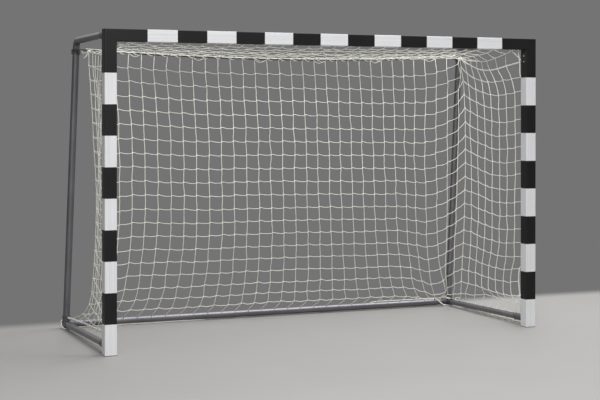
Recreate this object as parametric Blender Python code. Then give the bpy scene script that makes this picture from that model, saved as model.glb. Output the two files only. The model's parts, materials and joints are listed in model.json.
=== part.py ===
"""Free-standing indoor handball goal: striped aluminium front frame, tubular rear frame, ropes and net.

Metres, +Z up. X runs across the goal and Y from the mouth to the rear. Every size below is measured from the
front face of the posts (Y = 0), the middle of the mouth (X = 0) and the floor (Z = 0). One empty then shifts
the whole goal forward by half its depth, so that its origin is under the middle of its box.
"""

import math

import bmesh
import bpy
from mathutils import Matrix, Vector

# Mouth and square profile
MOUTH_WIDTH = 3.000
MOUTH_HEIGHT = 2.000
PROFILE = 0.080
PROFILE_RADIUS = 0.005
PROFILE_WALL = 0.0025
SLOT_OPENING = 0.011
SLOT_LIP = 0.003
CAVITY_WIDTH = 0.020
CAVITY_DEPTH = 0.008
CORNER_STRIPE = 0.280
STRIPE = 0.200

# Clearances: between faces that touch, and round a tube or shank in its bore
GAP = 0.0003
BORE_CLEARANCE = 0.0004

# Rear frame, on the axes of its tubes
HOOP_TUBE = 0.048
SIDE_RAIL_TUBE = 0.042
REAR_RAIL_TUBE = 0.048
TUBE_WALL = 0.002
ARM_DROP = 0.030
ARM_REAR_DEPTH = 1.060
ARM_REAR_HALF_WIDTH = 1.517
BEND_RADIUS = 0.065
CORNER_HALF_WIDTH = 1.541
CORNER_DEPTH = 1.285
CORNER_HEIGHT = 0.033
RAIL_FRONT_HEIGHT = 0.056
TUBE_SIDES = 24
BEND_STEPS = 6

# Cast sockets that hold the tubes
SOCKET_WALL = 0.0035
SOCKET_RIM = 0.0015
SOCKET_RIM_LENGTH = 0.010
POST_SOCKET_LENGTH = 0.135
POST_SOCKET_FLOOR = 0.002
CORNER_SOCKET_LENGTH = 0.062
CORNER_SETBACK = 0.032
HUB_RADIUS = 0.029
HUB_RINGS = 9
FLANGE_WIDTH = 0.070
FLANGE_THICKNESS = 0.006
FLANGE_MARGIN = 0.0295
FLANGE_REACH = 0.105

# Fasteners
BOLT_SHANK = 0.008
BOLT_HEAD_WIDTH = 0.013
BOLT_HEAD_HEIGHT = 0.0053
BOLT_OFFSETS = (0.048, 0.085)
NUT_BAR_THICKNESS = 0.006
NUT_BAR_END = 0.014
SCREW_SHANK = 0.006
SCREW_HEAD = 0.011
SCREW_HEAD_HEIGHT = 0.003
SCREW_REACH = (0.125, 0.165)
SCREW_DEPTH = 0.034
GRUB_DIAMETER = 0.008
GRUB_PROUD = 0.0008
HOLE_SIDES = 10

# Inner and lower pieces
CONNECTOR_ARM = 0.190
CONNECTOR_WALL = 0.006
PLUG_FLANGE = 0.003
PLUG_HEIGHT = 0.040
PLUG_CHAMFER = 0.003
FOOT_RADIUS = 0.020
FOOT_THICKNESS = 0.0035
FOOT_STEM_RADIUS = 0.005
FOOT_STEM_HEIGHT = 0.010

# Hook strips in the net grooves
HOOK_PITCH = 0.200
HOOK_WIDTH = 0.008
HOOK_THICKNESS = 0.004
HOOK_GAP = 0.0095
HOOK_LIP = 0.012
STRIP_THICKNESS = 0.0025
POST_HOOK_LOW = 0.240
POST_HOOK_DROP = 0.160
BAR_HOOK_MARGIN = 0.150
STRIP_OVERHANG = 0.030

# Ropes
TIE_ROPE = 0.010
TIE_TURNS = 3
TIE_TURN_STEPS = 16
TIE_PITCH = 0.011
TIE_DROP = 0.062
TIE_SAG = 0.054
TIE_BOW = 0.140
EDGE_ROPE = 0.008
EDGE_ROPE_LOW = 0.180
EDGE_ROPE_CLEARANCE = 0.045

# Net: its rear corner line, its rear panel and its seams
NET_CORD = 0.006
NET_WAIST_HALF = 1.435
NET_WAIST_DEPTH = 0.810
NET_WAIST_HEIGHT = 1.050
NET_TOP_SPREAD = 0.020
NET_TOP_DRAW = 0.125
CORNER_FLARE = 0.120
CORNER_FLARE_HEIGHT = 0.100
CORNER_SPREAD = 0.050
CORNER_SPREAD_HEIGHT = 0.150
REAR_FLARE = 0.350
REAR_FLARE_HEIGHT = 1.000
REAR_TOP_DRAW = 0.090
SEAM_REAR_DROP = 0.125
SEAM_FRONT_DROP = 0.165
SEAM_SAG = 0.070
TOP_PANEL_SAG = 0.060
PANEL_CLEARANCE = 0.009
REAR_CELLS = (14, 9)
SIDE_CELLS = (4, 9)
TOP_CELLS = (14, 4)

# Positions that follow
POST_CENTRE = MOUTH_WIDTH / 2 + PROFILE / 2
OUTER_HALF = MOUTH_WIDTH / 2 + PROFILE
BAR_CENTRE = MOUTH_HEIGHT + PROFILE / 2
TOP = MOUTH_HEIGHT + PROFILE
CAVITY_FLOOR = PROFILE - SLOT_LIP - CAVITY_DEPTH
HOLLOW_REAR = CAVITY_FLOOR - PROFILE_WALL
ROPE_DEPTH = PROFILE + HOOK_GAP / 2
ARM_HEIGHT = TOP - ARM_DROP
BAR_HOOK_HALF = MOUTH_WIDTH / 2 - BAR_HOOK_MARGIN
TIE_TOP_HEIGHT = ARM_HEIGHT - TIE_DROP
EDGE_ROPE_TURN = ARM_HEIGHT - FLANGE_REACH - EDGE_ROPE_CLEARANCE
SEAM_REAR_HEIGHT = ARM_HEIGHT - SEAM_REAR_DROP
SEAM_FRONT_HEIGHT = ARM_HEIGHT - SEAM_FRONT_DROP
ROPE_OFFSET = HOOK_THICKNESS / 2 + EDGE_ROPE / 2 + GAP
RIM_RADIUS = REAR_RAIL_TUBE / 2 + BORE_CLEARANCE + SOCKET_WALL + SOCKET_RIM
GOAL_DEPTH = CORNER_DEPTH + RIM_RADIUS * math.cos(math.pi / TUBE_SIDES)


def clear_scene():
    for obj in list(bpy.data.objects):
        bpy.data.objects.remove(obj, do_unlink=True)


def material(name, colour, roughness, metallic=0.0):
    made = bpy.data.materials.new(name)
    made.use_nodes = True
    shader = made.node_tree.nodes["Principled BSDF"]
    shader.inputs["Base Color"].default_value = (*colour, 1.0)
    shader.inputs["Roughness"].default_value = roughness
    shader.inputs["Metallic"].default_value = metallic
    return made


# Modelling tools


def turn_to(axis):
    """Rotation that takes +Z to the axis."""
    return Vector(axis).to_track_quat("Z", "Y").to_matrix().to_4x4()


def circle(radius, sides, centre=(0.0, 0.0)):
    return [
        (centre[0] + radius * math.cos(2 * math.pi * i / sides), centre[1] + radius * math.sin(2 * math.pi * i / sides))
        for i in range(sides)
    ]


def rounded_rectangle(low, high, radius, steps=3):
    """Corners (low, high) of a rectangle with round corners, anticlockwise."""
    points = []
    centres = (
        (high[0] - radius, high[1] - radius),
        (low[0] + radius, high[1] - radius),
        (low[0] + radius, low[1] + radius),
        (high[0] - radius, low[1] + radius),
    )
    for quarter, (cx, cy) in enumerate(centres):
        for step in range(steps + 1):
            angle = math.pi / 2 * (quarter + step / steps)
            points.append((cx + radius * math.cos(angle), cy + radius * math.sin(angle)))
    return points


def prism(bm, loops, stations, slots=None):
    """Solid between planar sections. Each station places a loop's (a, b); loops after the first are holes."""
    rings = [[[bm.verts.new(place(a, b)) for a, b in loop] for loop in loops] for place in stations]
    for index, (near, far) in enumerate(zip(rings, rings[1:])):
        for ring, following in zip(near, far):
            for i, corner in enumerate(ring):
                j = (i + 1) % len(ring)
                face = bm.faces.new((corner, ring[j], following[j], following[i]))
                face.material_index = slots[index] if slots else 0
    for end, slot in ((rings[0], 0), (rings[-1], -1)):
        edges = [bm.edges.get((ring[i - 1], ring[i])) for ring in end for i in range(len(ring))]
        capped = bmesh.ops.triangle_fill(bm, use_beauty=True, use_dissolve=False, edges=edges)
        for face in capped["geom"]:
            if isinstance(face, bmesh.types.BMFace) and slots:
                face.material_index = slots[slot]


def turned(bm, profile, base=(0.0, 0.0, 0.0), axis=(0.0, 0.0, 1.0), sides=TUBE_SIDES, phase=0.0):
    """Solid of revolution: the profile's (radius, height) points start and end on the axis."""
    place = Matrix.Translation(base) @ turn_to(axis) @ Matrix.Rotation(2 * math.pi * phase / sides, 4, "Z")
    rings = []
    for radius, height in profile:
        if radius == 0.0:
            rings.append([bm.verts.new(place @ Vector((0.0, 0.0, height)))])
        else:
            rings.append([bm.verts.new(place @ Vector((a, b, height))) for a, b in circle(radius, sides)])
    for near, far in zip(rings, rings[1:]):
        for i in range(sides):
            j = (i + 1) % sides
            corners = [near[i % len(near)], near[j % len(near)], far[j % len(far)], far[i % len(far)]]
            bm.faces.new(list(dict.fromkeys(corners)))


def rod(bm, radius, base, axis, start, end, sides=TUBE_SIDES):
    turned(bm, [(0.0, start), (radius, start), (radius, end), (0.0, end)], base, axis, sides)


def swept(bm, path, radius, bore=0.0, sides=TUBE_SIDES):
    """Round tube or rope along a path, with a frame carried from ring to ring without twist."""
    tangents = []
    for i in range(len(path)):
        before, after = path[max(i - 1, 0)], path[min(i + 1, len(path) - 1)]
        tangents.append((after - before).normalized())
    normal = tangents[0].orthogonal().normalized()
    frames = []
    for tangent in tangents:
        normal = (normal - tangent * normal.dot(tangent)).normalized()
        frames.append((normal, tangent.cross(normal)))
    shells = []
    for size in (radius, bore) if bore else (radius,):
        shell = []
        for centre, (across, over) in zip(path, frames):
            ring = [bm.verts.new(centre + across * a + over * b) for a, b in circle(size, sides)]
            shell.append(ring)
        for near, far in zip(shell, shell[1:]):
            for i in range(sides):
                j = (i + 1) % sides
                bm.faces.new((near[i], near[j], far[j], far[i]))
        shells.append(shell)
    for end in (0, -1):
        if not bore:
            bm.faces.new(shells[0][end])
            continue
        outer, inner = shells[0][end], shells[1][end]
        for i in range(sides):
            j = (i + 1) % sides
            bm.faces.new((outer[i], outer[j], inner[j], inner[i]))


def finish_mesh(name, bm):
    bmesh.ops.recalc_face_normals(bm, faces=bm.faces)
    mesh = bpy.data.meshes.new(name)
    bm.to_mesh(mesh)
    bm.free()
    mesh.shade_smooth()
    mesh.set_sharp_from_angle(angle=math.radians(30))
    return mesh


def add_piece(name, mesh, finishes, parent, place=Matrix.Identity(4)):
    piece = bpy.data.objects.new(name, mesh)
    if not mesh.materials:
        for finish in finishes:
            mesh.materials.append(finish)
    bpy.context.scene.collection.objects.link(piece)
    piece.parent = parent
    piece.matrix_local = place
    return piece


def combine(piece, bm, operation):
    """Adds or removes the solid in bm by a Boolean, from a helper that stays out of the render."""
    name = f"{piece.name}_{operation.lower()}_{len(piece.modifiers)}"
    helper = bpy.data.objects.new(name, finish_mesh(name, bm))
    bpy.context.scene.collection.objects.link(helper)
    helper.parent = piece.parent
    helper.hide_render = True
    helper.display_type = "WIRE"
    modifier = piece.modifiers.new(operation.title(), "BOOLEAN")
    modifier.operation = operation
    modifier.object = helper


def solid(build, *values):
    """A new bmesh filled by one of the tools above."""
    bm = bmesh.new()
    build(bm, *values)
    return bm


# Front frame


def profile_loops():
    """Outer outline with the net slot in the rear face, and the hollow that goes round the slot's cavity."""
    half, slot, cavity = PROFILE / 2, SLOT_OPENING / 2, CAVITY_WIDTH / 2
    lip, land, wall = PROFILE - SLOT_LIP, cavity + PROFILE_WALL, PROFILE_WALL
    outer = rounded_rectangle((-half, 0.0), (half, PROFILE), PROFILE_RADIUS)
    groove = [
        (slot, PROFILE),
        (slot, lip),
        (cavity, lip),
        (cavity, CAVITY_FLOOR),
        (-cavity, CAVITY_FLOOR),
        (-cavity, lip),
        (-slot, lip),
        (-slot, PROFILE),
    ]
    first_corner = len(outer) // 4
    outer[first_corner:first_corner] = groove
    inside = PROFILE_RADIUS - wall
    hollow = rounded_rectangle((wall - half, wall), (half - wall, PROFILE - wall), inside, steps=2)
    step_round = [
        (land, PROFILE - wall),
        (land, HOLLOW_REAR),
        (-land, HOLLOW_REAR),
        (-land, PROFILE - wall),
    ]
    first_corner = len(hollow) // 4
    hollow[first_corner:first_corner] = step_round
    return [outer, hollow]


def add_post(name, side, finishes, parent):
    def at_height(height):
        return lambda a, b: Vector((side * (POST_CENTRE + a), b, height))

    def at_mitre(a, b):
        return Vector((side * (POST_CENTRE + a), b, MOUTH_HEIGHT + PROFILE / 2 + a - GAP))

    stripes = round((TOP - CORNER_STRIPE) / STRIPE)
    heights = [PLUG_FLANGE + GAP] + [STRIPE * i for i in range(1, stripes + 1)]
    bm = bmesh.new()
    stations = [at_height(h) for h in heights] + [at_mitre]
    prism(bm, profile_loops(), stations, [i % 2 for i in range(len(heights))])
    post = add_piece(name, finish_mesh(name, bm), finishes, parent)
    holes = bmesh.new()
    for reach in SCREW_REACH:
        base = (side * MOUTH_WIDTH / 2, SCREW_DEPTH, TOP - reach)
        rod(holes, SCREW_SHANK / 2 + BORE_CLEARANCE, base, (side, 0, 0), -PROFILE_WALL, 2 * PROFILE_WALL, HOLE_SIDES)
    combine(post, holes, "DIFFERENCE")


def add_crossbar(finishes, parent):
    def at_width(width):
        return lambda a, b: Vector((width, b, BAR_CENTRE + a))

    def at_mitre(side):
        return lambda a, b: Vector((side * (MOUTH_WIDTH / 2 + PROFILE / 2 + a - GAP), b, BAR_CENTRE + a))

    first = OUTER_HALF - CORNER_STRIPE
    count = round(2 * first / STRIPE)
    widths = [STRIPE * i - first for i in range(count + 1)]
    bm = bmesh.new()
    stations = [at_mitre(-1)] + [at_width(w) for w in widths] + [at_mitre(1)]
    prism(bm, profile_loops(), stations, [(i + 1) % 2 for i in range(len(stations) - 1)])
    bar = add_piece("crossbar", finish_mesh("crossbar", bm), finishes, parent)
    holes = bmesh.new()
    for side in (-1, 1):
        for reach in SCREW_REACH:
            base = (side * (OUTER_HALF - reach), SCREW_DEPTH, MOUTH_HEIGHT)
            rod(holes, SCREW_SHANK / 2 + BORE_CLEARANCE, base, (0, 0, 1), -PROFILE_WALL, 2 * PROFILE_WALL, HOLE_SIDES)
    combine(bar, holes, "DIFFERENCE")


def connector_outline(inset):
    """L in distances from the goal's outer side and from its top."""
    near, far, end = inset, PROFILE - inset, CONNECTOR_ARM - inset
    return [(near, near), (end, near), (end, far), (far, far), (far, end), (near, end)]


def add_corner_connector(name, side, finish, parent):
    def at_depth(depth):
        return lambda a, b: Vector((side * (OUTER_HALF - a), depth, TOP - b))

    seat = PROFILE_WALL + GAP
    front, rear = PROFILE_RADIUS + GAP, HOLLOW_REAR - GAP
    bm = solid(prism, [connector_outline(seat)], [at_depth(front), at_depth(rear)])
    casting = add_piece(name, finish_mesh(name, bm), [finish], parent)
    pocket = [connector_outline(seat + CONNECTOR_WALL)]
    combine(casting, solid(prism, pocket, [at_depth(front + CONNECTOR_WALL), at_depth(PROFILE)]), "DIFFERENCE")
    holes = bmesh.new()
    bore = SCREW_SHANK / 2 + BORE_CLEARANCE
    reach_in = PROFILE_WALL + CONNECTOR_WALL
    for reach in SCREW_REACH:
        rod(holes, bore, (side * MOUTH_WIDTH / 2, SCREW_DEPTH, TOP - reach), (side, 0, 0), 0.0, 2 * reach_in, HOLE_SIDES)
        base = (side * (OUTER_HALF - reach), SCREW_DEPTH, MOUTH_HEIGHT)
        rod(holes, bore, base, (0, 0, 1), 0.0, 2 * reach_in, HOLE_SIDES)
    combine(casting, holes, "DIFFERENCE")


def screw_mesh():
    """Button-head screw on the Z axis: the head's seat is at 0 and the shank goes up."""
    head, socket, shank = SCREW_HEAD / 2, SCREW_SHANK / 3, SCREW_SHANK / 2
    length = PROFILE_WALL + GAP + CONNECTOR_WALL
    profile = [
        (0.0, -SCREW_HEAD_HEIGHT / 3),
        (socket, -SCREW_HEAD_HEIGHT / 3),
        (socket, -SCREW_HEAD_HEIGHT),
        (0.7 * head, -SCREW_HEAD_HEIGHT),
        (head, -SCREW_HEAD_HEIGHT / 3),
        (head, -GAP),
        (shank, -GAP),
        (shank, length),
        (0.0, length),
    ]
    return finish_mesh("corner_screw", solid(turned, profile, (0, 0, 0), (0, 0, 1), HOLE_SIDES))


def add_corner_screws(side_name, side, mesh, finish, parent):
    for number, reach in enumerate(SCREW_REACH, 1):
        post_seat = Vector((side * MOUTH_WIDTH / 2, SCREW_DEPTH, TOP - reach))
        bar_seat = Vector((side * (OUTER_HALF - reach), SCREW_DEPTH, MOUTH_HEIGHT))
        for member, seat, axis in (("post", post_seat, (side, 0, 0)), ("crossbar", bar_seat, (0, 0, 1))):
            place = Matrix.Translation(seat) @ turn_to(axis)
            add_piece(f"{side_name}_{member}_screw_{number}", mesh, [finish], parent, place)


def add_foot_plug(name, side, finish, parent):
    def at_height(height, inset=0.0):
        middle = (PROFILE_WALL + HOLLOW_REAR) / 2

        def place(a, b):
            shrink_a = math.copysign(inset, a)
            shrink_b = math.copysign(inset, b - middle)
            return Vector((side * POST_CENTRE + a - shrink_a, b - shrink_b, height))

        return place

    half, seat = PROFILE / 2, PROFILE_WALL + GAP
    flange = [rounded_rectangle((-half, 0.0), (half, PROFILE), PROFILE_RADIUS)]
    body = [rounded_rectangle((seat - half, seat), (half - seat, HOLLOW_REAR - GAP), PROFILE_RADIUS, steps=2)]
    top = PLUG_FLANGE + PLUG_HEIGHT
    plug = add_piece(name, finish_mesh(name, solid(prism, flange, [at_height(0.0), at_height(PLUG_FLANGE)])), [finish], parent)
    stations = [at_height(PLUG_FLANGE / 2), at_height(top - PLUG_CHAMFER), at_height(top, PLUG_CHAMFER)]
    combine(plug, solid(prism, body, stations), "UNION")


def add_hook_strip(name, start, end, hooks, place, finish, parent):
    """Strip in the slot's cavity with J hooks; place(along, across, depth) puts it on its member."""
    bottom = CAVITY_FLOOR + GAP
    half = CAVITY_WIDTH / 2 - GAP
    section = [(-half, bottom), (half, bottom), (half, bottom + STRIP_THICKNESS), (-half, bottom + STRIP_THICKNESS)]
    bm = solid(prism, [section], [lambda a, b: place(start, a, b), lambda a, b: place(end, a, b)])
    strip = add_piece(name, finish_mesh(name, bm), [finish], parent)
    half_hook, inner = HOOK_THICKNESS / 2, PROFILE + HOOK_GAP
    outer = inner + HOOK_THICKNESS
    hook = [
        (-half_hook, bottom + STRIP_THICKNESS / 2),
        (half_hook, bottom + STRIP_THICKNESS / 2),
        (half_hook, inner),
        (HOOK_LIP, inner),
        (HOOK_LIP, outer),
        (-half_hook, outer),
    ]
    teeth = bmesh.new()
    for position in hooks:
        low, high = position - HOOK_WIDTH / 2, position + HOOK_WIDTH / 2
        prism(teeth, [hook], [lambda a, b, t=low: place(t, a, b), lambda a, b, t=high: place(t, a, b)])
    combine(strip, teeth, "UNION")


def spaced(first, last, pitch):
    count = round((last - first) / pitch)
    return [first + (last - first) * i / count for i in range(count + 1)]


def add_hook_strips(finish, parent):
    hooks = spaced(-BAR_HOOK_HALF, BAR_HOOK_HALF, HOOK_PITCH)
    reach = BAR_HOOK_HALF + STRIP_OVERHANG
    add_hook_strip(
        "crossbar_hook_strip", -reach, reach, hooks, lambda t, a, b: Vector((t, b, BAR_CENTRE + a)), finish, parent
    )
    low, high = POST_HOOK_LOW, MOUTH_HEIGHT - POST_HOOK_DROP
    for side_name, side in (("left", -1), ("right", 1)):
        add_hook_strip(
            f"{side_name}_post_hook_strip",
            low - STRIP_OVERHANG,
            high + STRIP_OVERHANG,
            spaced(low, high, HOOK_PITCH),
            lambda t, a, b, s=side: Vector((s * (POST_CENTRE - a), b, t)),
            finish,
            parent,
        )


# Rear frame


def upper_front(side):
    return Vector((side * POST_CENTRE, PROFILE, ARM_HEIGHT))


def upper_rear(side):
    return Vector((side * ARM_REAR_HALF_WIDTH, ARM_REAR_DEPTH, ARM_HEIGHT))


def lower_front(side):
    return Vector((side * POST_CENTRE, PROFILE, RAIL_FRONT_HEIGHT))


def lower_rear(side):
    return Vector((side * CORNER_HALF_WIDTH, CORNER_DEPTH, CORNER_HEIGHT))


def tube_start():
    """Distance from the post's face to the end of a tube in its socket."""
    return FLANGE_THICKNESS + POST_SOCKET_FLOOR


def bend(before, corner, after, radius, steps):
    """Points of the arc that rounds the corner between two straight runs."""
    back, ahead = (before - corner).normalized(), (after - corner).normalized()
    half_angle = back.angle(ahead) / 2
    centre = corner + (back + ahead).normalized() * radius / math.sin(half_angle)
    run = radius / math.tan(half_angle)
    first, last = corner + back * run - centre, corner + ahead * run - centre
    normal = first.cross(last).normalized()
    sweep = first.angle(last)
    return [centre + Matrix.Rotation(sweep * i / steps, 3, normal) @ first for i in range(steps + 1)]


def add_tube(name, path, diameter, finish, parent):
    bm = solid(swept, path, diameter / 2, diameter / 2 - TUBE_WALL)
    return add_piece(name, finish_mesh(name, bm), [finish], parent)


def add_rear_tubes(side_name, side, finish, parent):
    front, elbow, corner = upper_front(side), upper_rear(side), lower_rear(side)
    start = front + (elbow - front).normalized() * (tube_start() + GAP)
    end = corner + (elbow - corner).normalized() * CORNER_SETBACK
    path = [start] + bend(start, elbow, corner, BEND_RADIUS, BEND_STEPS) + [end]
    add_tube(f"{side_name}_hoop", path, HOOP_TUBE, finish, parent)
    low = lower_front(side)
    along = (corner - low).normalized()
    rail = [low + along * (tube_start() + GAP), corner - along * CORNER_SETBACK]
    add_tube(f"{side_name}_side_rail", rail, SIDE_RAIL_TUBE, finish, parent)


def socket_profile(tube, start, floor, end):
    """Sleeve with a blind bore from its floor to its mouth, where it has a thicker rim."""
    bore = tube / 2 + BORE_CLEARANCE
    radius = bore + SOCKET_WALL
    rim = radius + SOCKET_RIM
    return [
        (0.0, start),
        (radius, start),
        (radius, end - SOCKET_RIM_LENGTH),
        (rim, end - SOCKET_RIM_LENGTH + SOCKET_RIM),
        (rim, end),
        (bore, end),
        (bore, floor),
        (0.0, floor),
    ]


def add_post_socket(name, base, target, tube, upward, grub_axis, finish, parent):
    """Flange on the post's rear face with a sleeve towards the target; upward is the way its ears point."""

    def at_depth(depth):
        return lambda a, b: Vector((base.x + a, PROFILE + depth, base.z + upward * b))

    axis = (target - base).normalized()
    half = FLANGE_WIDTH / 2
    outline = rounded_rectangle((-half, -FLANGE_MARGIN), (half, FLANGE_REACH), PROFILE_RADIUS)
    holes = [circle(BOLT_SHANK / 2 + BORE_CLEARANCE, HOLE_SIDES, (0.0, offset)) for offset in BOLT_OFFSETS]
    bm = solid(prism, [outline, *holes], [at_depth(GAP), at_depth(FLANGE_THICKNESS)])
    flange = add_piece(name, finish_mesh(name, bm), [finish], parent)
    sleeve = socket_profile(tube, FLANGE_THICKNESS / 2, tube_start(), POST_SOCKET_LENGTH)
    combine(flange, solid(turned, sleeve, base, axis), "UNION")
    cut_grub_hole(flange, base + axis * POST_SOCKET_LENGTH / 2, grub_axis, tube)


def cut_grub_hole(piece, seat, axis, tube):
    start = tube / 2 - TUBE_WALL
    end = tube / 2 + 2 * SOCKET_WALL
    bore = GRUB_DIAMETER / 2 + BORE_CLEARANCE / 2
    combine(piece, solid(rod, bore, seat, axis, start, end, HOLE_SIDES), "DIFFERENCE")


def add_post_sockets(side_name, side, finish, parent):
    outward = Vector((side, 0, 0))
    down = Vector((0, 0, -1))
    add_post_socket(
        f"{side_name}_upper_socket", upper_front(side), upper_rear(side), HOOP_TUBE, -1, down, finish, parent
    )
    add_post_socket(
        f"{side_name}_lower_socket", lower_front(side), lower_rear(side), SIDE_RAIL_TUBE, 1, outward, finish, parent
    )


def corner_axes(side):
    """The upright's, side rail's and rear rail's ways out of the corner fitting, with their tubes."""
    corner = lower_rear(side)
    return (
        ((upper_rear(side) - corner).normalized(), HOOP_TUBE),
        ((lower_front(side) - corner).normalized(), SIDE_RAIL_TUBE),
        (Vector((-side, 0, 0)), REAR_RAIL_TUBE),
    )


def add_corner_fitting(name, side, finish, parent):
    corner = lower_rear(side)
    angles = [math.pi * i / HUB_RINGS for i in range(1, HUB_RINGS)]
    hub = [(0.0, -HUB_RADIUS), *((HUB_RADIUS * math.sin(a), -HUB_RADIUS * math.cos(a)) for a in angles), (0.0, HUB_RADIUS)]
    ball = solid(turned, hub, corner, (0, 0, 1), 2 * HUB_RINGS, 0.3)
    fitting = add_piece(name, finish_mesh(name, ball), [finish], parent)
    for number, (axis, tube) in enumerate(corner_axes(side), 1):
        sleeve = socket_profile(tube, number * GAP, CORNER_SETBACK - GAP, CORNER_SOCKET_LENGTH)
        combine(fitting, solid(turned, sleeve, corner, axis, TUBE_SIDES, 0.5), "UNION")
    for (axis, tube), grub_axis in zip(corner_axes(side), corner_grub_axes(side)):
        cut_grub_hole(fitting, corner + axis * corner_grub_distance(), grub_axis, tube)
    level = FOOT_THICKNESS + GAP

    def under(height):
        return lambda a, b: Vector((corner.x + a, corner.y + b, height))

    reach = 2 * CORNER_SOCKET_LENGTH
    square = [(-reach, -reach), (reach, -reach), (reach, reach), (-reach, reach)]
    combine(fitting, solid(prism, [square], [under(-HUB_RADIUS), under(level)]), "DIFFERENCE")
    stem = FOOT_STEM_RADIUS + BORE_CLEARANCE
    floor = (corner.x, corner.y, 0.0)
    top = FOOT_THICKNESS + FOOT_STEM_HEIGHT + GAP
    combine(fitting, solid(rod, stem, floor, (0, 0, 1), FOOT_THICKNESS / 2, top, HOLE_SIDES), "DIFFERENCE")


def corner_grub_distance():
    """From the hub along a socket to its grub screw."""
    return (CORNER_SETBACK + CORNER_SOCKET_LENGTH) / 2


def corner_grub_axes(side):
    upright = corner_axes(side)[0][0]
    rearward = Vector((0, 1, 0))
    square_to_upright = (rearward - upright * rearward.dot(upright)).normalized()
    return square_to_upright, Vector((side, 0, 0)), rearward


def add_rear_rail(finish, parent):
    reach = CORNER_HALF_WIDTH - CORNER_SETBACK
    path = [Vector((side * reach, CORNER_DEPTH, CORNER_HEIGHT)) for side in (-1, 1)]
    add_tube("rear_rail", path, REAR_RAIL_TUBE, finish, parent)


def add_rear_foot(name, side, finish, parent):
    profile = [
        (0.0, 0.0),
        (FOOT_RADIUS - FOOT_THICKNESS / 3, 0.0),
        (FOOT_RADIUS, FOOT_THICKNESS / 3),
        (FOOT_RADIUS, FOOT_THICKNESS),
        (FOOT_STEM_RADIUS, FOOT_THICKNESS),
        (FOOT_STEM_RADIUS, FOOT_THICKNESS + FOOT_STEM_HEIGHT),
        (0.0, FOOT_THICKNESS + FOOT_STEM_HEIGHT),
    ]
    base = (side * CORNER_HALF_WIDTH, CORNER_DEPTH, 0.0)
    add_piece(name, finish_mesh(name, solid(turned, profile, base)), [finish], parent)


# Fasteners of the rear frame


def bolt_mesh():
    """Hexagon bolt on the Z axis: the head's seat is at 0 and the shank goes up through flange, lip and bar."""
    hexagon = circle(BOLT_HEAD_WIDTH / math.sqrt(3), 6)
    length = FLANGE_THICKNESS + SLOT_LIP + NUT_BAR_THICKNESS
    bm = bmesh.new()
    head = [[bm.verts.new((a, b, h)) for a, b in hexagon] for h in (-BOLT_HEAD_HEIGHT, -GAP)]
    shank = [[bm.verts.new((a, b, h)) for a, b in circle(BOLT_SHANK / 2, HOLE_SIDES)] for h in (-GAP, length)]
    for near, far in (head, shank):
        for i, corner in enumerate(near):
            j = (i + 1) % len(near)
            bm.faces.new((corner, near[j], far[j], far[i]))
    bm.faces.new(head[0])
    bm.faces.new(shank[1])
    seat = [bm.edges.get((ring[i - 1], ring[i])) for ring in (head[1], shank[0]) for i in range(len(ring))]
    bmesh.ops.triangle_fill(bm, use_beauty=True, use_dissolve=False, edges=seat)
    return finish_mesh("flange_bolt", bm)


def nut_bar_mesh():
    """Bar in the slot's cavity with the holes for both bolts; Z is the way the flange's ears point."""
    half = CAVITY_WIDTH / 2 - GAP
    outline = rounded_rectangle(
        (-half, BOLT_OFFSETS[0] - NUT_BAR_END), (half, BOLT_OFFSETS[1] + NUT_BAR_END), half / 4, steps=1
    )
    holes = [circle(BOLT_SHANK / 2 + BORE_CLEARANCE, HOLE_SIDES, (0.0, offset)) for offset in BOLT_OFFSETS]
    rear = PROFILE - SLOT_LIP - GAP
    stations = [lambda a, b: Vector((a, rear - NUT_BAR_THICKNESS, b)), lambda a, b: Vector((a, rear, b))]
    return finish_mesh("slot_nut_bar", solid(prism, [outline, *holes], stations))


def add_flange_fasteners(side_name, side, meshes, finish, parent):
    for level, base, upward in (("upper", upper_front(side), -1), ("lower", lower_front(side), 1)):
        turn = Matrix.Rotation(math.pi if upward < 0 else 0.0, 4, "Y")
        place = Matrix.Translation((base.x, 0.0, base.z)) @ turn
        add_piece(f"{side_name}_{level}_nut_bar", meshes["bar"], [finish], parent, place)
        for number, offset in enumerate(BOLT_OFFSETS, 1):
            seat = Vector((base.x, PROFILE + FLANGE_THICKNESS, base.z + upward * offset))
            place = Matrix.Translation(seat) @ turn_to((0, -1, 0))
            add_piece(f"{side_name}_{level}_bolt_{number}", meshes["bolt"], [finish], parent, place)


def grub_mesh(tube):
    """Grub screw on the Z axis, from the tube's surface to just proud of the sleeve."""
    start = tube / 2 + GAP
    end = tube / 2 + BORE_CLEARANCE + SOCKET_WALL + GRUB_PROUD
    radius = GRUB_DIAMETER / 2
    profile = [(0.0, start), (radius, start), (radius, end), (radius / 2, end), (radius / 2, end - radius / 2)]
    profile.append((0.0, end - radius / 2))
    return finish_mesh("grub_screw", solid(turned, profile, (0, 0, 0), (0, 0, 1), HOLE_SIDES))


def add_grub_screws(side_name, side, meshes, finish, parent):
    """One screw square to each tube, in the middle of the sleeve that holds it."""
    half_socket = POST_SOCKET_LENGTH / 2
    upper, lower, corner = upper_front(side), lower_front(side), lower_rear(side)
    arm, rail = (upper_rear(side) - upper).normalized(), (corner - lower).normalized()
    seats = [
        ("upper_socket", upper + arm * half_socket, Vector((0, 0, -1)), HOOP_TUBE),
        ("lower_socket", lower + rail * half_socket, Vector((side, 0, 0)), SIDE_RAIL_TUBE),
    ]
    for piece, (axis, tube), grub_axis in zip(
        ("upright", "side_rail", "rear_rail"), corner_axes(side), corner_grub_axes(side)
    ):
        seats.append((f"corner_{piece}", corner + axis * corner_grub_distance(), grub_axis, tube))
    for place_name, seat, axis, tube in seats:
        place = Matrix.Translation(seat) @ turn_to(axis)
        add_piece(f"{side_name}_{place_name}_grub", meshes[tube], [finish], parent, place)


# Ropes


def upright_point(side, height):
    low, high = lower_rear(side), upper_rear(side)
    return low + (high - low) * (height - low.z) / (high.z - low.z)


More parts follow.
